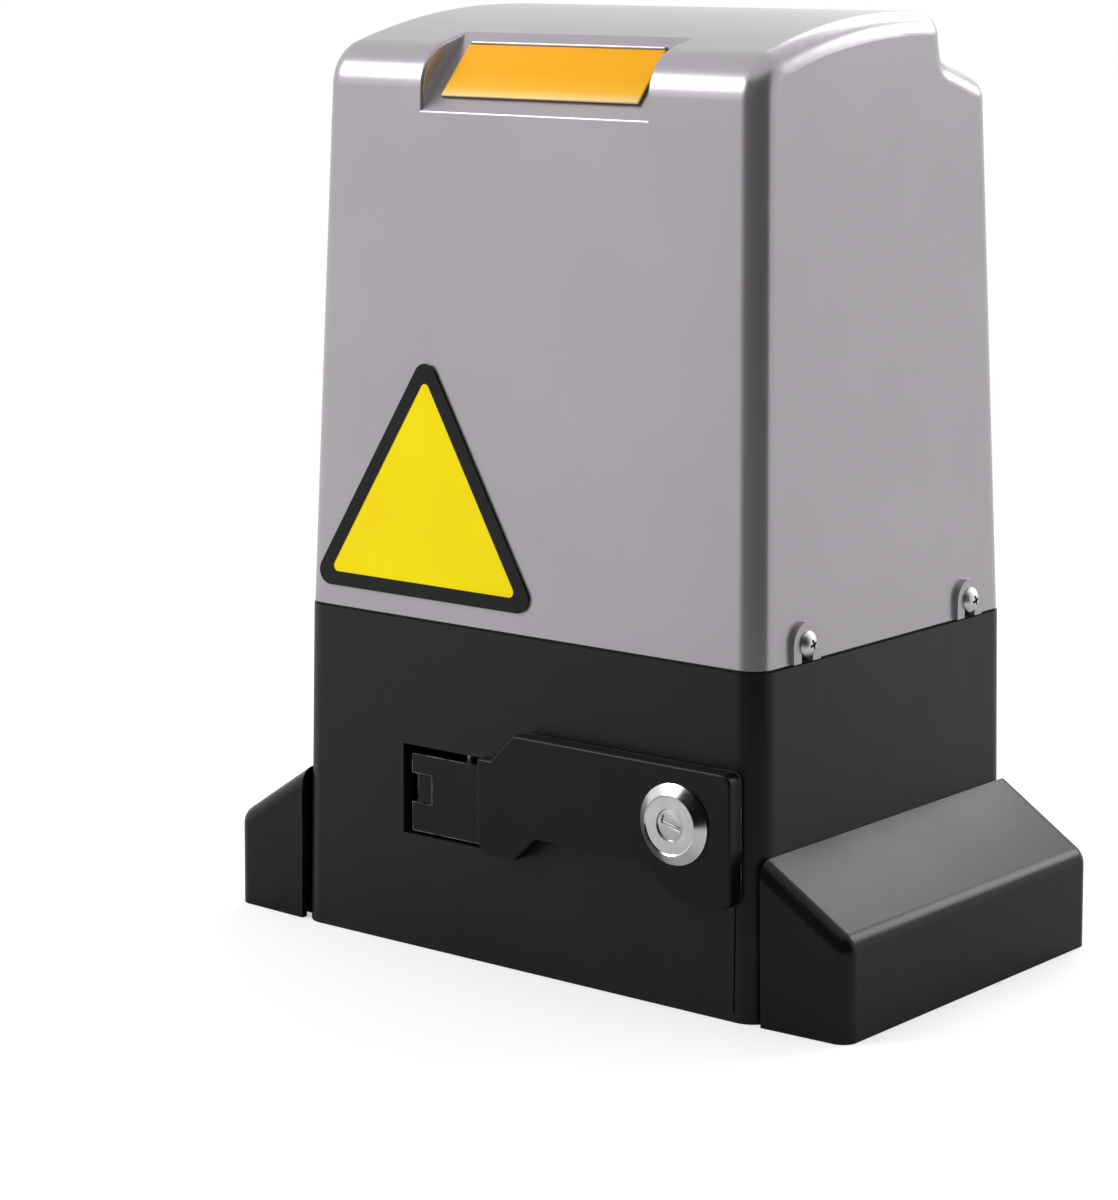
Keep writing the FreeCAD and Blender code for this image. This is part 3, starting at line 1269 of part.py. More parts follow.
def make_limit_switch():
    z0 = seam_z
    z1 = seam_z + switch_height
    body = box(shaft_x - switch_half_width, shaft_x + switch_half_width, switch_front_y, switch_rear_y, z0, z1)
    body = rounded(body, 2, is_upright)
    low = z0 + switch_floor
    high = z1 - 4
    pocket = rod_z(shaft_x, limit_pivot_y, 5.5, low, high)
    spread = math.tan(math.radians(limit_swing + 4))
    reach = switch_rear_y + 1 - limit_pivot_y
    half0 = limit_lever_radius + 1
    half1 = half0 + spread * reach
    mouth_points = [Vector(shaft_x - half0, limit_pivot_y, low), Vector(shaft_x + half0, limit_pivot_y, low),
                    Vector(shaft_x + half1, limit_pivot_y + reach, low),
                    Vector(shaft_x - half1, limit_pivot_y + reach, low)]
    mouth = Part.Face(Part.makePolygon(mouth_points + mouth_points[:1])).extrude(Vector(0, 0, high - low))
    pivot = rod_z(shaft_x, limit_pivot_y, 1.5, low - 0.5, high + 0.5)
    holes = [rod_z(shaft_x + dx, switch_front_y + 3.5, 1.6, z0 - 1, z1 + 1) for dx in (-14, 14)]
    return union(body.cut([pocket, mouth]), pivot).cut(holes)


def make_limit_switch_screws():
    z1 = seam_z + switch_height
    screws = []
    for dx in (-14, 14):
        x = shaft_x + dx
        screws.append(union(rod_z(x, switch_front_y + 3.5, 1.6, seam_z, z1 + 0.5),
                            rod_z(x, switch_front_y + 3.5, 3, z1, z1 + 2)))
    return Part.makeCompound(screws)


def make_limit_lever():
    """Sprung wand that the stops on the gate's rack push to either side."""
    z = seam_z + switch_floor + (switch_height - 4 - switch_floor) / 2
    half = (switch_height - 4 - switch_floor) / 2 - fit_gap
    hub = rod_z(shaft_x, limit_pivot_y, 4.5, z - half, z + half)
    wand = rod_y(shaft_x, z, limit_lever_radius, limit_pivot_y, limit_lever_tip_y - limit_lever_radius)
    tip = Part.makeSphere(limit_lever_radius, Vector(shaft_x, limit_lever_tip_y - limit_lever_radius, z))
    rings = [rod_y(shaft_x, z, limit_lever_radius + 0.7, y, y + 1.2)
             for y in range(int(switch_rear_y + 12), int(limit_lever_tip_y - 6), 3)]
    return union(hub, wand, tip, *rings).cut(rod_z(shaft_x, limit_pivot_y, 1.5 + running_gap, 0, cover_crown_z))


def make_grommet():
    r = cable_hole_radius
    flange = rod_z(cable_hole_x, cable_hole_y, r + grommet_flange, base_floor + 2, base_floor + 4)
    sleeve = rod_z(cable_hole_x, cable_hole_y, r, 0.5, base_floor + 3)
    return union(flange, sleeve).cut(rod_z(cable_hole_x, cable_hole_y, r - 2.5, -1, base_floor + 6))


# ------------------------------------------------------------------ all nodes
def build_nodes():
    nodes["base_housing"] = make_base_housing()
    nodes["right_foot_cover"] = make_right_foot_cover()
    nodes["left_foot_cover"] = mirrored(nodes["right_foot_cover"])
    nodes["base_seal"] = make_base_seal()
    nodes["top_cover"] = make_top_cover()
    nodes["name_plate"] = make_name_plate()
    nodes["triangle_plate_border"] = make_triangle_border()
    nodes["triangle_plate_field"] = make_triangle_field()
    nodes["cover_screws"] = Part.makeCompound([pan_screw_x(y, screw_z, side)
                                               for side in (-1, 1) for y in (-screw_y, screw_y)])
    outer, inner = bearing_races(bearing_outer_radius, shaft_radius, bearing_width)
    nodes["front_bearing_outer_race"] = along_y(outer, front_web_y)
    nodes["front_bearing_inner_race"] = along_y(inner, front_web_y)
    nodes["rear_bearing_outer_race"] = along_y(outer, chamber_rear_y)
    nodes["rear_bearing_inner_race"] = along_y(inner, chamber_rear_y)
    nodes["output_oil_seal"] = make_oil_seal()
    nodes["output_shaft"] = make_output_shaft()
    nodes["worm_wheel"] = make_worm_wheel()
    nodes["output_gear"] = make_output_gear()
    nodes["output_gear_key"] = key_bar()
    bolt_y = gear_rear_y + gear_washer_thickness
    nodes["output_gear_washer"] = rod_y(shaft_x, shaft_z, gear_washer_radius, gear_rear_y, bolt_y).cut(
        rod_y(shaft_x, shaft_z, gear_bolt_radius, gear_rear_y - 1, bolt_y + 1))
    nodes["output_gear_bolt"] = union(rod_y(shaft_x, shaft_z, gear_bolt_radius, gear_rear_y - 20, bolt_y + 0.5),
                                      hex_prism(13, Vector(shaft_x, bolt_y, shaft_z), Vector(0, 5.3, 0)))
    nodes["clutch_ring"] = make_clutch_ring()
    nodes["clutch_spring"] = make_clutch_spring()
    nodes["release_rod"] = make_release_rod()
    nodes["clutch_cross_pin"] = rod_z(shaft_x, pin_y(), pin_radius,
                                      shaft_z - ring_radius + 0.5, shaft_z + ring_radius - 0.5)
    nodes["gearbox_lid"] = make_lid()
    nodes["gearbox_gasket"] = make_gasket()
    nodes["gearbox_lid_screws"] = make_lid_screws()
    nodes["worm_shaft"] = make_worm_shaft()
    nodes["rotor_core"] = make_rotor_core()
    outer, inner = bearing_races(motor_bearing_radius, motor_shaft_radius, motor_bearing_width)
    places = (lower_bearing_z(), upper_bearing_z())
    nodes["motor_bearing_outer_races"] = Part.makeCompound([along_z(outer, z) for z in places])
    nodes["motor_bearing_inner_races"] = Part.makeCompound([along_z(inner, z) for z in places])
    outer, inner = bearing_races(tail_bearing_radius, tail_shaft_radius, tail_bearing_width)
    nodes["worm_tail_bearing_outer_race"] = along_z(outer, chamber_floor_z - tail_bearing_width)
    nodes["worm_tail_bearing_inner_race"] = along_z(inner, chamber_floor_z - tail_bearing_width)
    nodes["motor_lower_cap"] = make_lower_cap()
    nodes["motor_upper_cap"] = make_upper_cap()
    nodes["motor_through_bolts"] = make_through_bolts()
    nodes["stator_core"] = make_stator_core()
    nodes["stator_windings"] = make_windings()
    nodes["release_lever"] = make_release_lever()
    nodes["lever_hinge_pin"] = make_hinge_pin()
    nodes["lock_body"] = make_lock_body()
    nodes["lock_plug"] = make_lock_plug()
    nodes["lock_tongue"] = make_lock_tongue()
    nodes["lock_nut"] = make_lock_nut()
    nodes["board_bracket"] = make_board_bracket()
    nodes["control_board"] = make_board()
    nodes["board_screws"] = make_board_screws()
    nodes["relays"] = make_relays()
    nodes["terminal_blocks"] = make_terminal_blocks()
    nodes["board_transformer"] = make_transformer()
    nodes["fuse"] = make_fuse()
    nodes["radio_receiver"] = make_receiver()
    nodes["run_capacitor"] = make_capacitor()
    nodes["capacitor_clamp"] = make_capacitor_clamp()
    nodes["limit_switch"] = make_limit_switch()
    nodes["limit_switch_screws"] = make_limit_switch_screws()
    nodes["limit_lever"] = make_limit_lever()
    nodes["cable_grommet"] = make_grommet()


def key_bar():
    return box(shaft_x - key_width / 2, shaft_x + key_width / 2, gear_front_y, gear_rear_y,
               shaft_z + shaft_radius - key_height * 0.55, shaft_z + shaft_radius + key_height * 0.45)


build_nodes()
for name, shape in nodes.items():
    if not shape.isValid():
        print("not valid:", name)
    shape.exportStep("parts/" + name + ".step")
print(len(nodes), "nodes")
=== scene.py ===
"""Sliding gate motor: finishes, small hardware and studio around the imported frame."""
import math

import bpy
from mathutils import Matrix, Vector


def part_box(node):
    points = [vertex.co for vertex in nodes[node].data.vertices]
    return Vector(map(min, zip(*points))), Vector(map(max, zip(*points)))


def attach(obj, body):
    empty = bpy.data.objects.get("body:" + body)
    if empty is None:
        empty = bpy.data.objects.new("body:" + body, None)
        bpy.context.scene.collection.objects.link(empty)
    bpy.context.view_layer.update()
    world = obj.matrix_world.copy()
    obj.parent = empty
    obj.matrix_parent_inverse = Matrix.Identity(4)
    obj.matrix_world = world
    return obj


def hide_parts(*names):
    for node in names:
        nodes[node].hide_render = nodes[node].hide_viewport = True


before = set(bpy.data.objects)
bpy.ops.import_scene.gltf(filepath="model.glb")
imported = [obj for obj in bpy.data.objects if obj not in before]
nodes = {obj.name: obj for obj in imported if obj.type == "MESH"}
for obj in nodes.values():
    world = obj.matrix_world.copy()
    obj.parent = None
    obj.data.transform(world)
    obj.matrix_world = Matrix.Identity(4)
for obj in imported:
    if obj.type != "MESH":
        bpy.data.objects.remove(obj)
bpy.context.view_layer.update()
MM = 0.001
# divides the scale of the wave textures, which keeps their bands wide enough to show
WAVE_RATE = 20


# ------------------------------------------------------------------ shader helpers
def linear(code):
    """An sRGB hex colour, such as "a6a2a8", as the linear colour of a shader socket."""
    parts = [int(code[i:i + 2], 16) / 255 for i in (0, 2, 4)]
    return [c / 12.92 if c <= 0.04045 else ((c + 0.055) / 1.055) ** 2.4 for c in parts] + [1.0]


def add(tree, kind, inputs=None, stops=None, **settings):
    """One node with its settings; an input given as a socket is linked, and any other is set."""
    made = tree.nodes.new(kind)
    for name, value in settings.items():
        setattr(made, name, value)
    for name, value in (inputs or {}).items():
        if isinstance(value, bpy.types.NodeSocket):
            tree.links.new(value, made.inputs[name])
        else:
            made.inputs[name].default_value = value
    if stops:
        elements = made.color_ramp.elements
        while len(elements) < len(stops):
            elements.new(1.0)
        for element, (position, code) in zip(elements, stops):
            element.position = position
            element.color = linear(code)
    return made


def material(name, colour, roughness, **sockets):
    """A material whose Principled shader has these values, with its tree, shader and place."""
    made = bpy.data.materials.new(name)
    made.use_nodes = True
    tree = made.node_tree
    shader = tree.nodes["Principled BSDF"]
    shader.inputs["Base Color"].default_value = linear(colour)
    shader.inputs["Roughness"].default_value = roughness
    for socket, value in sockets.items():
        shader.inputs[socket.replace("_", " ")].default_value = value
    place = add(tree, "ShaderNodeTexCoord").outputs["Object"]
    return made, tree, shader, place


def grain(tree, shader, place, size, depth, detail=2.0):
    """Raised grain as bump; size and depth in millimetres."""
    noise = add(tree, "ShaderNodeTexNoise",
                {"Vector": place, "Scale": 1 / (size * MM), "Detail": detail, "Roughness": 0.6})
    bump = add(tree, "ShaderNodeBump",
               {"Height": noise.outputs["Fac"], "Distance": depth * MM, "Strength": 1.0})
    tree.links.new(bump.outputs["Normal"], shader.inputs["Normal"])


def drift(tree, shader, place, patch, dark, light, rough_low, rough_high):
    """Slow change of colour and gloss over patches of this size in millimetres."""
    noise = add(tree, "ShaderNodeTexNoise",
                {"Vector": place, "Scale": 1 / (patch * MM), "Detail": 4.0, "Roughness": 0.55})
    shade = add(tree, "ShaderNodeValToRGB", {"Fac": noise.outputs["Fac"]},
                stops=[(0.32, dark), (0.68, light)])
    tree.links.new(shade.outputs["Color"], shader.inputs["Base Color"])
    gloss = add(tree, "ShaderNodeMapRange",
                {"Value": noise.outputs["Fac"], "From Min": 0.3, "From Max": 0.7,
                 "To Min": rough_low, "To Max": rough_high})
    tree.links.new(gloss.outputs["Result"], shader.inputs["Roughness"])
    return shade


# ------------------------------------------------------------------ materials
def silver_effect_abs():
    """Silver-effect ABS: flake in the plastic makes it part metal and satin, under a fine grain."""
    made, tree, shader, place = material("silver_effect_abs", "a8a4a9", 0.28, Metallic=0.70,
                                         Specular_IOR_Level=0.5, IOR=1.53)
    drift(tree, shader, place, 60, "a6a2a7", "aaa6ab", 0.27, 0.30)
    # the moulded grain is far too fine to show, so it is drawn wide and very shallow
    grain(tree, shader, place, 2.0, 0.003)
    return made


def black_powder_coat():
    """Cast aluminium under black powder coat: dull, with the fine orange peel of baked powder."""
    made, tree, shader, place = material("powder_coated_aluminium_black", "0f0f0f", 0.40,
                                         Specular_IOR_Level=0.28)
    drift(tree, shader, place, 30, "0d0d0d", "121212", 0.36, 0.44)
    grain(tree, shader, place, 1.1, 0.03, 3.0)
    return made


def black_abs():
    """Black ABS foot covers: moulded, with a satin gloss."""
    made, tree, shader, place = material("abs_moulded_black", "0e0e0f", 0.27,
                                         Specular_IOR_Level=0.22)
    drift(tree, shader, place, 25, "0c0c0d", "111112", 0.26, 0.29)
    grain(tree, shader, place, 1.6, 0.004)
    return made


def black_paint_on_steel():
    """Stove paint on the lever: satin black, rubbed grey along its edges, which also paints the highlight of
    its lit top edge.
    """
    made, tree, shader, place = material("stove_paint_black", "0d0d10", 0.32,
                                         Specular_IOR_Level=0.2)
    shade = drift(tree, shader, place, 18, "0b0b0d", "101013", 0.28, 0.38)
    soft = add(tree, "ShaderNodeBevel", {"Radius": 0.7 * MM}, samples=4)
    flat = add(tree, "ShaderNodeNewGeometry")
    close = add(tree, "ShaderNodeVectorMath", {0: soft.outputs["Normal"], 1: flat.outputs["Normal"]},
                operation="DOT_PRODUCT")
    rub = add(tree, "ShaderNodeTexNoise", {"Vector": place, "Scale": 1 / (6 * MM), "Detail": 6.0})
    edge = add(tree, "ShaderNodeMapRange",
               {"Value": close.outputs["Value"], "From Min": 0.97, "From Max": 0.80})
    patch = add(tree, "ShaderNodeMapRange",
                {"Value": rub.outputs["Fac"], "From Min": 0.35, "From Max": 0.60})
    wear_and_highlight = add(tree, "ShaderNodeMath", {0: edge.outputs["Result"], 1: patch.outputs["Result"]},
               operation="MULTIPLY")
    # pale grey on the edges: rubbed paint, and also a painted highlight standing in for the lit top edge
    colour = add(tree, "ShaderNodeMix",
                 {"Factor": wear_and_highlight.outputs[0], "A": shade.outputs["Color"], "B": linear("a4a4a8")},
                 data_type="RGBA")
    tree.links.new(colour.outputs["Result"], shader.inputs["Base Color"])
    grain(tree, shader, place, 1.0, 0.015)
    return made


def metal(name, colour, roughness, patch, dark, light, rough_low, rough_high, size, depth):
    """A bare metal with clouded gloss and fine marks."""
    made, tree, shader, place = material(name, colour, roughness, Metallic=1.0)
    drift(tree, shader, place, patch, dark, light, rough_low, rough_high)
    grain(tree, shader, place, size, depth)
    return made


def zinc_plate():
    """Bright zinc plate on pressed and headed steel: pale, slightly clouded."""
    return metal("zinc_plated_steel", "c4c6c9", 0.28, 4, "b4b6ba", "d0d2d5", 0.22, 0.36, 0.6, 0.004)


def chrome():
    """Polished chrome on the lock's zinc casting: mirror bright with faint handling haze."""
    return metal("chromed_zinc", "dcd9d9", 0.18, 6, "d2cfcf", "e2e0df", 0.14, 0.24, 1.2, 0.004)


def ground_steel():
    """Ground steel: grey, with a slightly clouded gloss."""
    return metal("ground_steel", "a8aaae", 0.24, 5, "9c9ea2", "b2b4b8", 0.18, 0.30, 0.4, 0.003)


def cut_bronze():
    """Hobbed bronze of the worm wheel."""
    return metal("hobbed_bronze", "b8894e", 0.32, 5, "a87a42", "c4965a", 0.26, 0.40, 0.5, 0.004)


def cast_aluminium():
    """Die-cast aluminium: pale grey, dull, with the mottled skin of the die."""
    return metal("die_cast_aluminium", "b4b6b8", 0.48, 9, "a4a6a8", "bfc1c3", 0.40, 0.58, 1.4, 0.02)


def laminations():
    """Stacked sheet steel: dark and pale bands across the stack, far wider than its sheets."""
    made, tree, shader, place = material("stacked_lamination_steel", "7d7f82", 0.42, Metallic=1.0)
    wave = add(tree, "ShaderNodeTexWave",
               {"Vector": place, "Scale": 1 / (1.5 * MM) / WAVE_RATE, "Distortion": 0.3},
               wave_type="BANDS", bands_direction="Z")
    shade = add(tree, "ShaderNodeValToRGB", {"Fac": wave.outputs["Fac"]},
                stops=[(0.15, "4c4d50"), (0.5, "85878a")])
    tree.links.new(shade.outputs["Color"], shader.inputs["Base Color"])
    bump = add(tree, "ShaderNodeBump",
               {"Height": wave.outputs["Fac"], "Distance": 0.05 * MM, "Strength": 1.0})
    tree.links.new(bump.outputs["Normal"], shader.inputs["Normal"])
    return made


def enamelled_copper():
    """Enamelled winding wire under amber varnish: dark and pale bands stand for its rows."""
    made, tree, shader, place = material("enamelled_copper_wire", "9a4f22", 0.25,
                                         Metallic=0.6, Coat_Weight=0.6)
    wave = add(tree, "ShaderNodeTexWave",
               {"Vector": place, "Scale": 1 / (1.0 * MM) / WAVE_RATE, "Distortion": 1.5, "Detail": 2.0},
               wave_type="BANDS", bands_direction="Z")
    shade = add(tree, "ShaderNodeValToRGB", {"Fac": wave.outputs["Fac"]},
                stops=[(0.1, "5e2c10"), (0.6, "b5642c")])
    tree.links.new(shade.outputs["Color"], shader.inputs["Base Color"])
    bump = add(tree, "ShaderNodeBump",
               {"Height": wave.outputs["Fac"], "Distance": 0.3 * MM, "Strength": 1.0})
    tree.links.new(bump.outputs["Normal"], shader.inputs["Normal"])
    return made


def rubber():
    """Black nitrile rubber: dull, faintly grey with bloom."""
    made, tree, shader, place = material("nitrile_rubber", "1c1c1c", 0.72, Specular_IOR_Level=0.3)
    drift(tree, shader, place, 12, "171717", "262626", 0.64, 0.80)
    grain(tree, shader, place, 0.5, 0.01)
    return made


def plastic(name, dark, light, roughness):
    """A moulded component body in one colour."""
    made, tree, shader, place = material(name, light, roughness)
    drift(tree, shader, place, 8, dark, light, roughness - 0.05, roughness + 0.08)
    grain(tree, shader, place, 0.7, 0.006)
    return made


def solder_mask():
    """Green solder mask over copper tracks: glossy, with tracks that show as paler lines."""
    made, tree, shader, place = material("fibreglass_board_green", "1d5a32", 0.30, Coat_Weight=0.4)
    tracks = add(tree, "ShaderNodeTexBrick",
                 {"Scale": 1 / (9 * MM), "Mortar Size": 0.06, "Mortar Smooth": 0.1, "Bias": 0.0,
                  "Color1": linear("1b5530"), "Color2": linear("1f5f36"), "Mortar": linear("2f7d49")})
    turn = add(tree, "ShaderNodeMapping", {"Vector": place, "Rotation": (math.pi / 2, 0, 0)})
    tree.links.new(turn.outputs["Vector"], tracks.inputs["Vector"])
    tree.links.new(tracks.outputs["Color"], shader.inputs["Base Color"])
    bump = add(tree, "ShaderNodeBump",
               {"Height": tracks.outputs["Fac"], "Distance": 0.04 * MM, "Strength": 1.0})
    tree.links.new(bump.outputs["Normal"], shader.inputs["Normal"])
    return made


def amber_plate():
    """Printed polycarbonate plate under clear lacquer: even amber, paler along its lower edge, where the pale
    band is a painted highlight.
    """
    made, tree, shader, place = material("polycarbonate_plate_amber", "ffa400", 0.30,
                                         Specular_IOR_Level=0.2)
    low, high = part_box("name_plate")
    height = add(tree, "ShaderNodeSeparateXYZ", {"Vector": place})
    painted_highlight_share = add(tree, "ShaderNodeMapRange",
                {"Value": height.outputs["Z"], "From Min": low.z, "From Max": high.z})
    # the pale stops near the lower edge are a painted highlight of the plate's bevel; above them the amber is
    # even
    shade = add(tree, "ShaderNodeValToRGB", {"Fac": painted_highlight_share.outputs["Result"]},
                stops=[(0.0, "fff0cc"), (0.06, "ffdc92"), (0.20, "ffbf30"), (0.45, "ffb300"),
                       (1.0, "ffb300")])
    tree.links.new(shade.outputs["Color"], shader.inputs["Base Color"])
    grain(tree, shader, place, 3.0, 0.004)
    return made


def vinyl(name, dark, light, roughness):
    """Printed vinyl plate: even colour, faint orange peel of the clear film."""
    made, tree, shader, place = material(name, light, roughness, Specular_IOR_Level=0.16)
    drift(tree, shader, place, 35, dark, light, roughness - 0.04, roughness + 0.05)
    grain(tree, shader, place, 2.5, 0.005)
    return made


# ------------------------------------------------------------------ finishes of the nodes
def paint(finish, names):
    """Every material slot of these nodes takes the finish."""
    for name in names:
        for slot in nodes[name].material_slots:
            slot.material = finish


zinc = zinc_plate()
steel = ground_steel()
dark_plastic = plastic("component_black", "151515", "1f1f20", 0.42)
silver = silver_effect_abs()
amber = amber_plate()
finishes = [
    (silver, ["top_cover"]),
    (black_powder_coat(), ["base_housing"]),
    (black_abs(), ["right_foot_cover", "left_foot_cover"]),
    (black_paint_on_steel(), ["release_lever"]),
    (chrome(), ["lock_body", "lock_plug"]),
    (zinc, ["cover_screws", "output_gear", "output_gear_washer", "output_gear_bolt", "gearbox_lid_screws",
            "motor_through_bolts", "board_bracket", "board_screws", "capacitor_clamp", "limit_lever",
            "limit_switch_screws", "lock_tongue", "lock_nut"]),
    (steel, ["output_shaft", "output_gear_key", "front_bearing_outer_race", "front_bearing_inner_race",
             "rear_bearing_outer_race", "rear_bearing_inner_race", "worm_shaft", "clutch_ring",
             "clutch_spring", "release_rod", "clutch_cross_pin", "motor_bearing_outer_races",
             "motor_bearing_inner_races", "worm_tail_bearing_outer_race",
             "worm_tail_bearing_inner_race", "lever_hinge_pin"]),
    (cut_bronze(), ["worm_wheel"]),
    (cast_aluminium(), ["gearbox_lid", "motor_lower_cap", "motor_upper_cap"]),
    (laminations(), ["rotor_core", "stator_core"]),
    (enamelled_copper(), ["stator_windings"]),
    (rubber(), ["base_seal", "gearbox_gasket", "output_oil_seal", "cable_grommet"]),
    (solder_mask(), ["control_board"]),
    (plastic("relay_blue", "1c4f8f", "2460a6", 0.35), ["relays"]),
    (plastic("terminal_green", "1d7a3d", "258a48", 0.40), ["terminal_blocks"]),
    (plastic("capacitor_white", "dcdcd6", "e6e6e1", 0.36), ["run_capacitor"]),
    (dark_plastic, ["board_transformer", "fuse", "radio_receiver", "limit_switch"]),
    (amber, ["name_plate"]),
    (vinyl("vinyl_yellow", "ffe200", "ffea00", 0.30), ["triangle_plate_field"]),
    (vinyl("vinyl_black", "141415", "1b1b1c", 0.28), ["triangle_plate_border"]),
]
for finish, names in finishes:
    paint(finish, names)


# ------------------------------------------------------------------ modelling helpers
def start():
    """Nothing selected, so that a new primitive is the only thing an operator acts on."""
    for each in list(bpy.context.selected_objects):
        each.select_set(False)


def pick(piece, test):
    """Edit mode on the active piece, with the faces selected whose centre and normal pass the test."""
    bpy.ops.object.mode_set(mode="EDIT")
    bpy.ops.mesh.select_mode(type="FACE")
    bpy.ops.mesh.select_all(action="DESELECT")
    bpy.ops.object.mode_set(mode="OBJECT")
    for face in piece.data.polygons:
        face.select = test(face.center, face.normal)
    bpy.ops.object.mode_set(mode="EDIT")


def facing_up(centre, normal):
    """Test for pick: the faces on top."""
    return normal.z > 0.9


def facing_down(centre, normal):
    """Test for pick: the faces underneath."""
    return normal.z < -0.9


def push(offset):
    """Extrude the selected faces by this offset."""
    bpy.ops.mesh.extrude_region_move(TRANSFORM_OT_translate={"value": offset})


def settle(piece, place=None):
    """The piece's place goes into its mesh, so that its object sits at the origin."""
    if piece.mode == "EDIT":
        bpy.ops.object.mode_set(mode="OBJECT")
    piece.data.transform((place or Matrix.Identity(4)) @ piece.matrix_world)
    piece.matrix_world = Matrix.Identity(4)
    return piece


def rounded(piece, width, segments=2, angle=30):
    """Bevel on the sharp edges, applied, with smooth faces between them."""
    bevel = piece.modifiers.new("edges", "BEVEL")
    bevel.width, bevel.segments, bevel.limit_method = width, segments, "ANGLE"
    bevel.angle_limit = math.radians(angle)
    bpy.ops.object.modifier_apply(modifier=bevel.name)
    bpy.ops.object.shade_smooth_by_angle(angle=math.radians(angle))
    return piece


def cut(piece, cutter):
    """Take the cutter's volume out of the piece, and the cutter away."""
    start()
    piece.select_set(True)
    bpy.context.view_layer.objects.active = piece
    difference = piece.modifiers.new("cut", "BOOLEAN")
    difference.operation, difference.object, difference.solver = "DIFFERENCE", cutter, "EXACT"
    difference.material_mode = "TRANSFER"
    bpy.ops.object.modifier_apply(modifier=difference.name)
    bpy.data.objects.remove(cutter)
    return piece


def block(size, centre, turn=0.0):
    """A box of this size, turned about Z; a start for other shapes."""
    start()
    bpy.ops.mesh.primitive_cube_add(size=1)
    made = bpy.context.object
    placed = Matrix.Translation(centre) @ Matrix.Rotation(turn, 4, "Z")
    made.data.transform(placed @ Matrix.Diagonal((*size, 1)))
    return made


def disc(radius, depth, centre, sides=48):
    """An upright cylinder; a start for other shapes."""
    start()
    bpy.ops.mesh.primitive_cylinder_add(vertices=sides, radius=radius, depth=depth)
    made = bpy.context.object
    made.data.transform(Matrix.Translation(centre))
    return made


def dress(piece, name, finish, body):
    """Name, finish, body and material slot of a finished piece."""
    piece.name = name
    piece.data.name = name
    if not any(piece.data.materials):
        piece.data.materials.clear()
        piece.data.materials.append(finish)
    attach(piece, body)
    return piece


def copies(piece, name, places):
    """Copies of a settled piece, each with its own mesh, one for each place; the pattern goes."""
    made = []
    for number, place in enumerate(places, 1):
        twin = piece.copy()
        twin.data = piece.data.copy()
        twin.data.transform(place)
        bpy.context.scene.collection.objects.link(twin)
        twin.name = f"{name}_{number}"
        made.append(twin)
    bpy.data.objects.remove(piece)
    return made


# ------------------------------------------------------------------ cover screws
def pan_head_screw(radius, rim, rise, shank_radius, shank_length):
    """Domed head with a cross recess, its seat at the origin and its top along +Z, and its shank below."""
    dome = (radius ** 2 + rise ** 2) / (2 * rise)
    start()
    bpy.ops.mesh.primitive_uv_sphere_add(segments=64, ring_count=96, radius=dome)
    head = bpy.context.object
    head.data.transform(Matrix.Translation((0, 0, rim + rise - dome)))
    bpy.ops.object.mode_set(mode="EDIT")
    bpy.ops.mesh.select_all(action="SELECT")
    bpy.ops.mesh.bisect(plane_co=(0, 0, rim), plane_no=(0, 0, 1), clear_inner=True, use_fill=True)
    pick(head, facing_down)
    push((0, 0, -rim))
    bpy.ops.mesh.inset(thickness=radius - shank_radius)
    push((0, 0, -shank_length))
    settle(head)
    head.data.materials.append(satin_zinc)
    # the cross recess: two blades at a right angle, tapered towards their foot
    arm, width = 0.50 * radius, 0.26 * radius
    for turn in (math.radians(20), math.radians(110)):
        blade = block((2 * arm, width, 2 * rise), (0, 0, rim + 0.8 * rise), turn)
        # the blades carry a near-black material onto the faces of the recess: painted shade inside the recess
        blade.data.materials.append(painted_recess_shade)
        pick(blade, facing_down)
        bpy.ops.transform.resize(value=(0.6, 0.6, 1), center_override=(0, 0, 0))
        cut(head, settle(blade))
    return rounded(head, 0.12 * MM, 2, 35)


def cover_screws():
    """Four screws in the lugs of the base, at the places of the frame's own screws."""
    low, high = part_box("cover_screws")
    frame_head_rise, frame_head_radius = 3.2 * MM, 5 * MM
    seat, y, z = high.x - frame_head_rise, high.y - frame_head_radius, (low.z + high.z) / 2
    screw = pan_head_screw(radius=4.3 * MM, rim=0.5 * MM, rise=2.1 * MM,
                           shank_radius=2.5 * MM, shank_length=13 * MM)
    places = [Matrix.Translation((side * seat, across, z)) @ Matrix.Rotation(side * math.pi / 2, 4, "Y")
              for side in (1, -1) for across in (-y, y)]
    made = copies(screw, "cover_screw", places)
    for each in made:
        dress(each, each.name, satin_zinc, "housing")
    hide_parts("cover_screws")


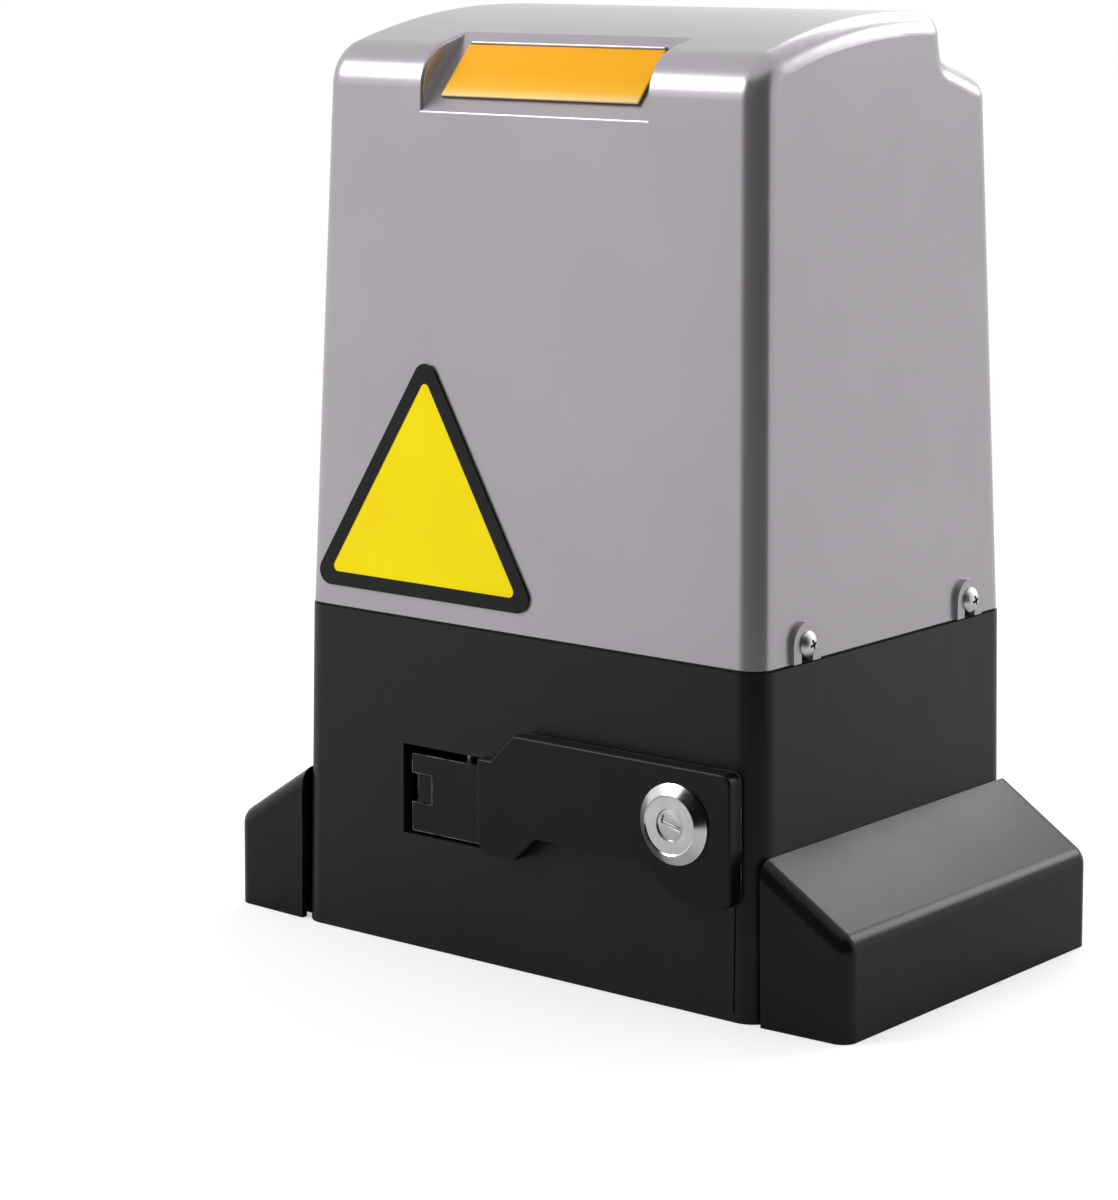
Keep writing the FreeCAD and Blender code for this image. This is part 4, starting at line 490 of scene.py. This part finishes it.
# ------------------------------------------------------------------ lock plug
def key_plug():
    """Plug of the lock: its slot falls to the right, and a sprung shutter closes it just below the face."""
    low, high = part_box("lock_plug")
    x, z, radius = (low.x + high.x) / 2, (low.z + high.z) / 2, (high.x - low.x) / 2
    setback, square_and_stem, stem = 0.35 * MM, 6 * MM, 3.5 * MM
    face, barrel_rear, square_rear = low.y + setback, high.y - square_and_stem, high.y - stem
    square_width, overlap = 6 * MM, 0.5 * MM
    slot_centre, slot_width, slot_height, slot_depth = 0.2 * MM, 7.8 * MM, 1.2 * MM, 8 * MM
    ward_centre, ward_width, ward_height = (-3.3 * MM, 2.0 * MM), 0.6 * MM, 2.4 * MM
    shutter_width, shutter_height, shutter_depth, shutter_setback = 7.6 * MM, 0.8 * MM, 1.2 * MM, 0.9 * MM
    fall = math.radians(14)
    # each piece is modelled with its face up, then laid along the lock
    lay = Matrix.Translation((x, 0, z)) @ Matrix.Rotation(math.pi / 2, 4, "X")
    plug = disc(radius, barrel_rear - face, (0, 0, -(face + barrel_rear) / 2), 72)
    cut(plug, block((slot_width, slot_height, slot_depth), (slot_centre, 0, -face), -fall))
    cut(plug, block((ward_width, ward_height, slot_depth), (*ward_centre, -face), -fall))
    settle(rounded(plug, 0.15 * MM, 2, 35), lay)
    square = block((square_width, square_width, square_rear - barrel_rear + overlap),
                   (0, 0, -(square_rear + barrel_rear - overlap) / 2))
    pick(square, facing_down)
    bpy.ops.mesh.inset(thickness=1.0 * MM)
    push((0, 0, -(high.y - square_rear)))
    settle(square)
    settle(rounded(square, 0.3 * MM), lay)
    shutter = block((shutter_width, shutter_height, shutter_depth),
                    (slot_centre, 0, -face - shutter_setback), -fall)
    settle(rounded(shutter, 0.2 * MM), lay)
    dress(plug, "key_plug", satin_chrome, "lock")
    dress(square, "key_plug_square", satin_chrome, "lock")
    dress(shutter, "key_slot_shutter", bright_chrome, "lock")
    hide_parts("lock_plug")


# ------------------------------------------------------------------ name plate and its seat
def name_plate():
    """Bare plate on dark foam whose rim, showing past the plate, is a painted shade line, below a rounded
    bead along the upper edge of the cover's seat.
    """
    low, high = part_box("name_plate")
    slope, side, bead = math.radians(48), 0.8 * MM, 1.8 * MM
    thick, foam_thick, bead_gap, bead_rise = 0.7 * MM, 0.7 * MM, 0.2 * MM, 1.8 * MM
    foam_wider, foam_longer = 0.5 * MM, 0.3 * MM
    length = (high.z - low.z - side * math.cos(slope)) / math.sin(slope)
    # +X across, +Y up the slope and +Z out of it, from the plate's lower edge
    ledge = Matrix.Translation((0, high.y - length * math.cos(slope), low.z)) @ Matrix.Rotation(slope, 4, "X")
    width, height = high.x - low.x, length - bead
    plate = block((width, height, thick), (0, height / 2, foam_thick + thick / 2))
    pick(plate, facing_up)
    bpy.ops.mesh.inset(thickness=0.8 * MM, depth=0.15 * MM)
    settle(plate)
    settle(rounded(plate, 0.2 * MM, 2, 40), ledge)
    # the foam lifts the plate, and its dark rim past the plate's edge paints the shade line around the plate
    foam = block((width + foam_wider, height + foam_longer, foam_thick), (0, height / 2, foam_thick / 2))
    settle(rounded(foam, 0.15 * MM), ledge)
    seat_bead = block((width, bead, bead_rise), (0, height + bead / 2 + bead_gap, bead_rise / 2))
    settle(rounded(seat_bead, 0.85 * MM, 5), ledge)
    dress(plate, "name_plate_face", amber, "cover")
    dress(foam, "name_plate_foam", foam_and_shade_line, "cover")
    dress(seat_bead, "name_plate_seat_bead", silver, "cover")
    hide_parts("name_plate")


# ------------------------------------------------------------------ small parts of the control board
def on_board(x, z):
    """Place on the board's front, counted in millimetres from its lower left corner.

    The piece that goes there is modelled with its foot at the origin and its top along +Z.
    """
    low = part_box("control_board")[0]
    return Matrix.Translation((low.x + x * MM, low.y, low.z + z * MM)) @ Matrix.Rotation(math.pi / 2, 4, "X")


def chip(width, height, thickness, legs):
    """Moulded package with a row of bent legs along its two long sides, and a dimple at its first leg."""
    body = block((width, height, thickness), (0, 0, thickness / 2 + 0.4 * MM))
    pick(body, facing_up)
    bpy.ops.transform.resize(value=(0.96, 0.90, 1), center_override=(0, 0, 0))
    settle(body)
    cut(body, disc(0.7 * MM, 1 * MM, (-0.42 * width, -0.28 * height, thickness + 0.6 * MM), 16))
    rounded(body, 0.15 * MM, 2, 40)
    pitch = width * 0.9 / legs
    leg = block((0.45 * pitch, 1.2 * MM, 0.3 * MM), (0, height / 2 + 0.5 * MM, 0.5 * thickness + 0.4 * MM))
    pick(leg, lambda centre, normal: normal.y > 0.9)
    push((0, 0.3 * MM, -0.3 * MM))
    push((0, 0.1 * MM, -0.5 * thickness))
    settle(leg)
    places = [Matrix.Rotation(turn, 4, "Z") @ Matrix.Translation(((i - (legs - 1) / 2) * pitch, 0, 0))
              for turn in (0, math.pi) for i in range(legs)]
    return body, copies(leg, "leg", places)


def capacitor_can(radius, height):
    """Aluminium electrolytic can in its sleeve: rolled groove near the foot, bare scored top."""
    can = disc(radius, height, (0, 0, height / 2), 32)
    pick(can, facing_up)
    bpy.ops.mesh.inset(thickness=0.7 * MM)
    push((0, 0, -0.3 * MM))
    settle(can)
    rounded(can, 0.5 * MM, 3, 40)
    start()
    bpy.ops.mesh.primitive_torus_add(major_radius=radius + 0.1 * MM, minor_radius=0.5 * MM,
                                     major_segments=32, minor_segments=10)
    ring = bpy.context.object
    ring.data.transform(Matrix.Translation((0, 0, 2 * MM)))
    cut(can, ring)
    return can


def trimmer():
    """Trimming potentiometer: square body and a round adjuster with a cross slot."""
    body = block((7 * MM, 7 * MM, 5 * MM), (0, 0, 2.5 * MM))
    rounded(body, 0.4 * MM)
    dial = disc(2.4 * MM, 1.6 * MM, (0, 0, 5.4 * MM), 32)
    for turn in (0.4, 0.4 + math.pi / 2):
        cut(dial, block((3.6 * MM, 0.7 * MM, 1.2 * MM), (0, 0, 6.2 * MM), turn))
    rounded(dial, 0.15 * MM, 2, 35)
    return body, dial


def indicator(radius):
    """Round indicator lamp: collar, body and domed top."""
    lamp = disc(radius * 1.15, 1 * MM, (0, 0, 0.5 * MM), 24)
    pick(lamp, facing_up)
    bpy.ops.mesh.inset(thickness=radius * 0.15)
    push((0, 0, 2.6 * MM))
    settle(lamp)
    return rounded(lamp, 0.75 * radius, 4, 60)


def resistor():
    """Axial resistor lying on the board: rounded body with two shouldered ends and its wires."""
    body = disc(1.1 * MM, 6.4 * MM, (0, 0, 0), 20)
    for end in (1, -1):
        pick(body, lambda centre, normal: normal.z * end > 0.9)
        bpy.ops.transform.resize(value=(1.2, 1.2, 1), center_override=(0, 0, 0))
        bpy.ops.mesh.inset(thickness=0.9 * MM)
        push((0, 0, end * 1.8 * MM))
    settle(body)
    rounded(body, 0.25 * MM, 2, 40)
    return settle(body, Matrix.Translation((0, 0, 1.7 * MM)) @ Matrix.Rotation(math.pi / 2, 4, "Y"))


def board_parts():
    """What stands on the front of the board beside the relays, transformer, fuse, receiver and terminals.

    Places and sizes are in millimetres; a place is counted from the board's lower left corner.
    """
    # place, then width, height and the number of legs on a side
    chips = [(26, 56, 20, 6.6, 9), (98, 36, 17, 11, 12), (66, 56, 10, 6.2, 4)]
    # place, then radius and height
    capacitors = [(50, 58, 5, 13), (81, 55, 3.5, 11), (124, 40, 4, 11)]
    trimmer_columns, trimmer_row = (94, 105, 116), 91
    lamp_columns, lamp_row = range(16, 100, 14), 20
    resistors = [(16 + 13 * i, 93) for i in range(6)] + [(92 + 13 * i, 24) for i in range(3)]
    tinned = metal("tinned_copper", "c9cbce", 0.30, 2, "bcbec1", "d2d4d6", 0.24, 0.36, 0.5, 0.002)
    sleeve = plastic("sleeve_pvc_dark_blue", "1a2236", "20294a", 0.34)
    glass_red = plastic("tinted_epoxy_red", "8e1712", "a81d16", 0.18)
    glass_green = plastic("tinted_epoxy_green", "1d7a2c", "259036", 0.18)
    lacquer = plastic("resistor_lacquer_beige", "b59c74", "c7ae86", 0.35)
    trimmer_blue = plastic("trimmer_blue", "1e5aa8", "2767bd", 0.35)
    white = plastic("nylon_white", "d6d6d0", "e2e2dc", 0.40)

    for number, (x, z, width, height, legs) in enumerate(chips, 1):
        body, rows = chip(width * MM, height * MM, 2.6 * MM, legs)
        settle(body, on_board(x, z))
        dress(body, f"board_chip_{number}", dark_plastic, "housing")
        start()
        for leg in rows:
            leg.select_set(True)
        bpy.context.view_layer.objects.active = rows[0]
        bpy.ops.object.join()
        settle(rows[0], on_board(x, z))
        dress(rows[0], f"board_chip_legs_{number}", tinned, "housing")

    for number, (x, z, radius, height) in enumerate(capacitors, 1):
        can = capacitor_can(radius * MM, height * MM)
        settle(can, on_board(x, z))
        dress(can, f"board_capacitor_{number}", sleeve, "housing")

    for number, x in enumerate(trimmer_columns, 1):
        body, dial = trimmer()
        for piece, name, finish in ((body, "trimmer_body", trimmer_blue), (dial, "trimmer_dial", white)):
            settle(piece, on_board(x, trimmer_row))
            dress(piece, f"{name}_{number}", finish, "housing")

    lamps = copies(indicator(1.5 * MM), "indicator", [on_board(x, lamp_row) for x in lamp_columns])
    # one lamp in three is green
    for number, lamp in enumerate(lamps):
        dress(lamp, lamp.name, glass_red if number % 3 else glass_green, "housing")

    for each in copies(resistor(), "resistor", [on_board(x, z) for x, z in resistors]):
        dress(each, each.name, lacquer, "housing")


satin_zinc = metal("satin_zinc_plated_steel", "d8d6d6", 0.36, 3, "cecccc", "e2e0e0", 0.30, 0.42, 0.6, 0.006)
satin_chrome = metal("satin_chromed_zinc", "d4d1d2", 0.30, 4, "cac7c8", "dcdada", 0.26, 0.36, 0.5, 0.003)
bright_chrome = chrome()
# near-black colour for the faces of the screws' cross recesses: painted shade standing in for the shade
# inside the recess
painted_recess_shade = plastic("painted_shade_in_recess", "0c0b0a", "161412", 0.8)
# dark foam under the name plate; its rim also paints the shade line around the plate
foam_and_shade_line = plastic("foam_dark_with_shade_line", "4a4340", "585250", 0.75)
cover_screws()
key_plug()
name_plate()
board_parts()


# ------------------------------------------------------------------ studio
def stage_plane(name, centre, size, normal, finish):
    """A flat rectangle facing along normal, with this finish."""
    bpy.ops.mesh.primitive_plane_add(size=1)
    plane = bpy.context.object
    plane.name = name
    turn = Vector(normal).to_track_quat("Z", "Y").to_matrix().to_4x4()
    plane.data.transform(Matrix.Translation(centre) @ turn @ Matrix.Diagonal((*size, 1, 1)))
    plane.data.materials.append(finish)


def floor_finish():
    """Pale paper sweep: it keeps the object's soft shadow and runs out to plain white."""
    made, tree, shader, place = material("studio_paper_white", "f4f4f4", 0.9, Specular_IOR_Level=0.1)
    reach = add(tree, "ShaderNodeVectorMath", {0: place}, operation="LENGTH")
    rays = add(tree, "ShaderNodeLightPath")
    seen = add(tree, "ShaderNodeMath",
               {0: rays.outputs["Is Camera Ray"], 1: rays.outputs["Is Glossy Ray"]}, operation="ADD")
    seen = add(tree, "ShaderNodeMath",
               {0: seen.outputs[0], 1: rays.outputs["Is Transmission Ray"]},
               operation="ADD", use_clamp=True)
    far = add(tree, "ShaderNodeMapRange",
              {"Value": reach.outputs["Value"], "From Min": 0.3, "From Max": 1.1})
    white = add(tree, "ShaderNodeMath", {0: far.outputs["Result"], 1: seen.outputs[0]},
                operation="MULTIPLY")
    paper = add(tree, "ShaderNodeMix",
                {"Factor": white.outputs[0], "A": linear("d4d4d4"), "B": linear("000000")},
                data_type="RGBA")
    lift = add(tree, "ShaderNodeMath", {0: rays.outputs["Is Camera Ray"], 1: 0.5}, operation="MULTIPLY")
    rest = add(tree, "ShaderNodeMath", {0: 1.0, 1: lift.outputs[0]}, operation="SUBTRACT")
    glow = add(tree, "ShaderNodeMath", {0: white.outputs[0], 1: rest.outputs[0], 2: lift.outputs[0]},
               operation="MULTIPLY_ADD")
    tree.links.new(paper.outputs["Result"], shader.inputs["Base Color"])
    tree.links.new(glow.outputs[0], shader.inputs["Emission Strength"])
    shader.inputs["Emission Color"].default_value = linear("ffffff")
    return made


def black_card(name, from_azimuth, to_azimuth, radius, low_z, high_z):
    """Curved black flag that only reflections see: it draws the dark line down a glossy corner."""
    bpy.ops.mesh.primitive_cylinder_add(vertices=72, radius=radius, depth=high_z - low_z,
                                        end_fill_type="NOTHING", location=(0, 0, (low_z + high_z) / 2))
    card = bpy.context.object
    card.name = name
    card.data.transform(card.matrix_world)
    card.matrix_world = Matrix.Identity(4)
    away = [face.index for face in card.data.polygons
            if not from_azimuth < math.degrees(math.atan2(face.center.x, -face.center.y)) < to_azimuth]
    bpy.ops.object.mode_set(mode="EDIT")
    bpy.ops.mesh.select_all(action="DESELECT")
    bpy.ops.object.mode_set(mode="OBJECT")
    for index in away:
        card.data.polygons[index].select = True
    bpy.ops.object.mode_set(mode="EDIT")
    bpy.ops.mesh.delete(type="FACE")
    bpy.ops.object.mode_set(mode="OBJECT")
    felt = material("studio_felt_black", "101010", 1.0, Specular_IOR_Level=0.0)[0]
    card.data.materials.append(felt)
    card.visible_camera = False
    card.visible_diffuse = False
    card.visible_shadow = False
    card.visible_transmission = False


def light_panel(name, place, target, size, power):
    """A white rectangular lamp at this place, turned towards the target."""
    data = bpy.data.lights.new(name, "AREA")
    data.shape = "RECTANGLE"
    data.size, data.size_y = size
    data.energy = power
    panel = bpy.data.objects.new(name, data)
    panel.location = place
    panel.rotation_euler = (Vector(target) - Vector(place)).to_track_quat("-Z", "Y").to_euler()
    bpy.context.scene.collection.objects.link(panel)


def studio_world():
    """White to the camera and in reflections, and an even pale light for everything else."""
    world = bpy.data.worlds.new("studio")
    world.use_nodes = True
    tree = world.node_tree
    background = tree.nodes["Background"]
    rays = add(tree, "ShaderNodeLightPath")
    seen = add(tree, "ShaderNodeMath", {0: rays.outputs["Is Camera Ray"], 1: rays.outputs["Is Glossy Ray"]},
               operation="ADD")
    seen = add(tree, "ShaderNodeMath", {0: seen.outputs[0], 1: rays.outputs["Is Transmission Ray"]},
               operation="ADD", use_clamp=True)
    level = add(tree, "ShaderNodeMapRange", {"Value": seen.outputs[0], "To Min": 0.6, "To Max": 1.0})
    background.inputs["Color"].default_value = linear("ffffff")
    tree.links.new(level.outputs["Result"], background.inputs["Strength"])
    bpy.context.scene.world = world


def studio_camera():
    """Long lens from the front right, a little above the object."""
    azimuth, elevation = math.radians(39.14), math.radians(10.99)
    distance, lens = 1.2753, 105.7
    target = Vector((-0.04331, 0, 0.11315))
    back = Vector((math.sin(azimuth) * math.cos(elevation), -math.cos(azimuth) * math.cos(elevation),
                   math.sin(elevation)))
    data = bpy.data.cameras.new("camera")
    data.sensor_width, data.lens = 36, lens
    data.clip_start, data.clip_end = 0.05, 20
    camera = bpy.data.objects.new("camera", data)
    camera.location = target + back * distance
    camera.rotation_euler = (-back).to_track_quat("-Z", "Y").to_euler()
    bpy.context.scene.collection.objects.link(camera)
    bpy.context.scene.camera = camera


# the floor lies a hair below the object, so that the two don't share a plane
stage_plane("floor", centre=(0, 0, -0.0002), size=(12, 12), normal=(0, 0, 1), finish=floor_finish())
black_card("black_card", from_azimuth=-12, to_azimuth=96, radius=0.5, low_z=0.0, high_z=0.75)
light_panel("key_left", (-0.91, -0.98, 0.99), target=(0, 0, 0.31), size=(0.8, 0.5), power=11)
light_panel("rear_right", (0.65, 1.3, 0.8), target=(0, 0, 0.15), size=(0.6, 0.6), power=7)
light_panel("rear", (-0.25, 1.3, 1.15), target=(0, 0, 0.1), size=(0.9, 0.5), power=11)
studio_world()
studio_camera()
bpy.context.scene.view_settings.view_transform = "Standard"
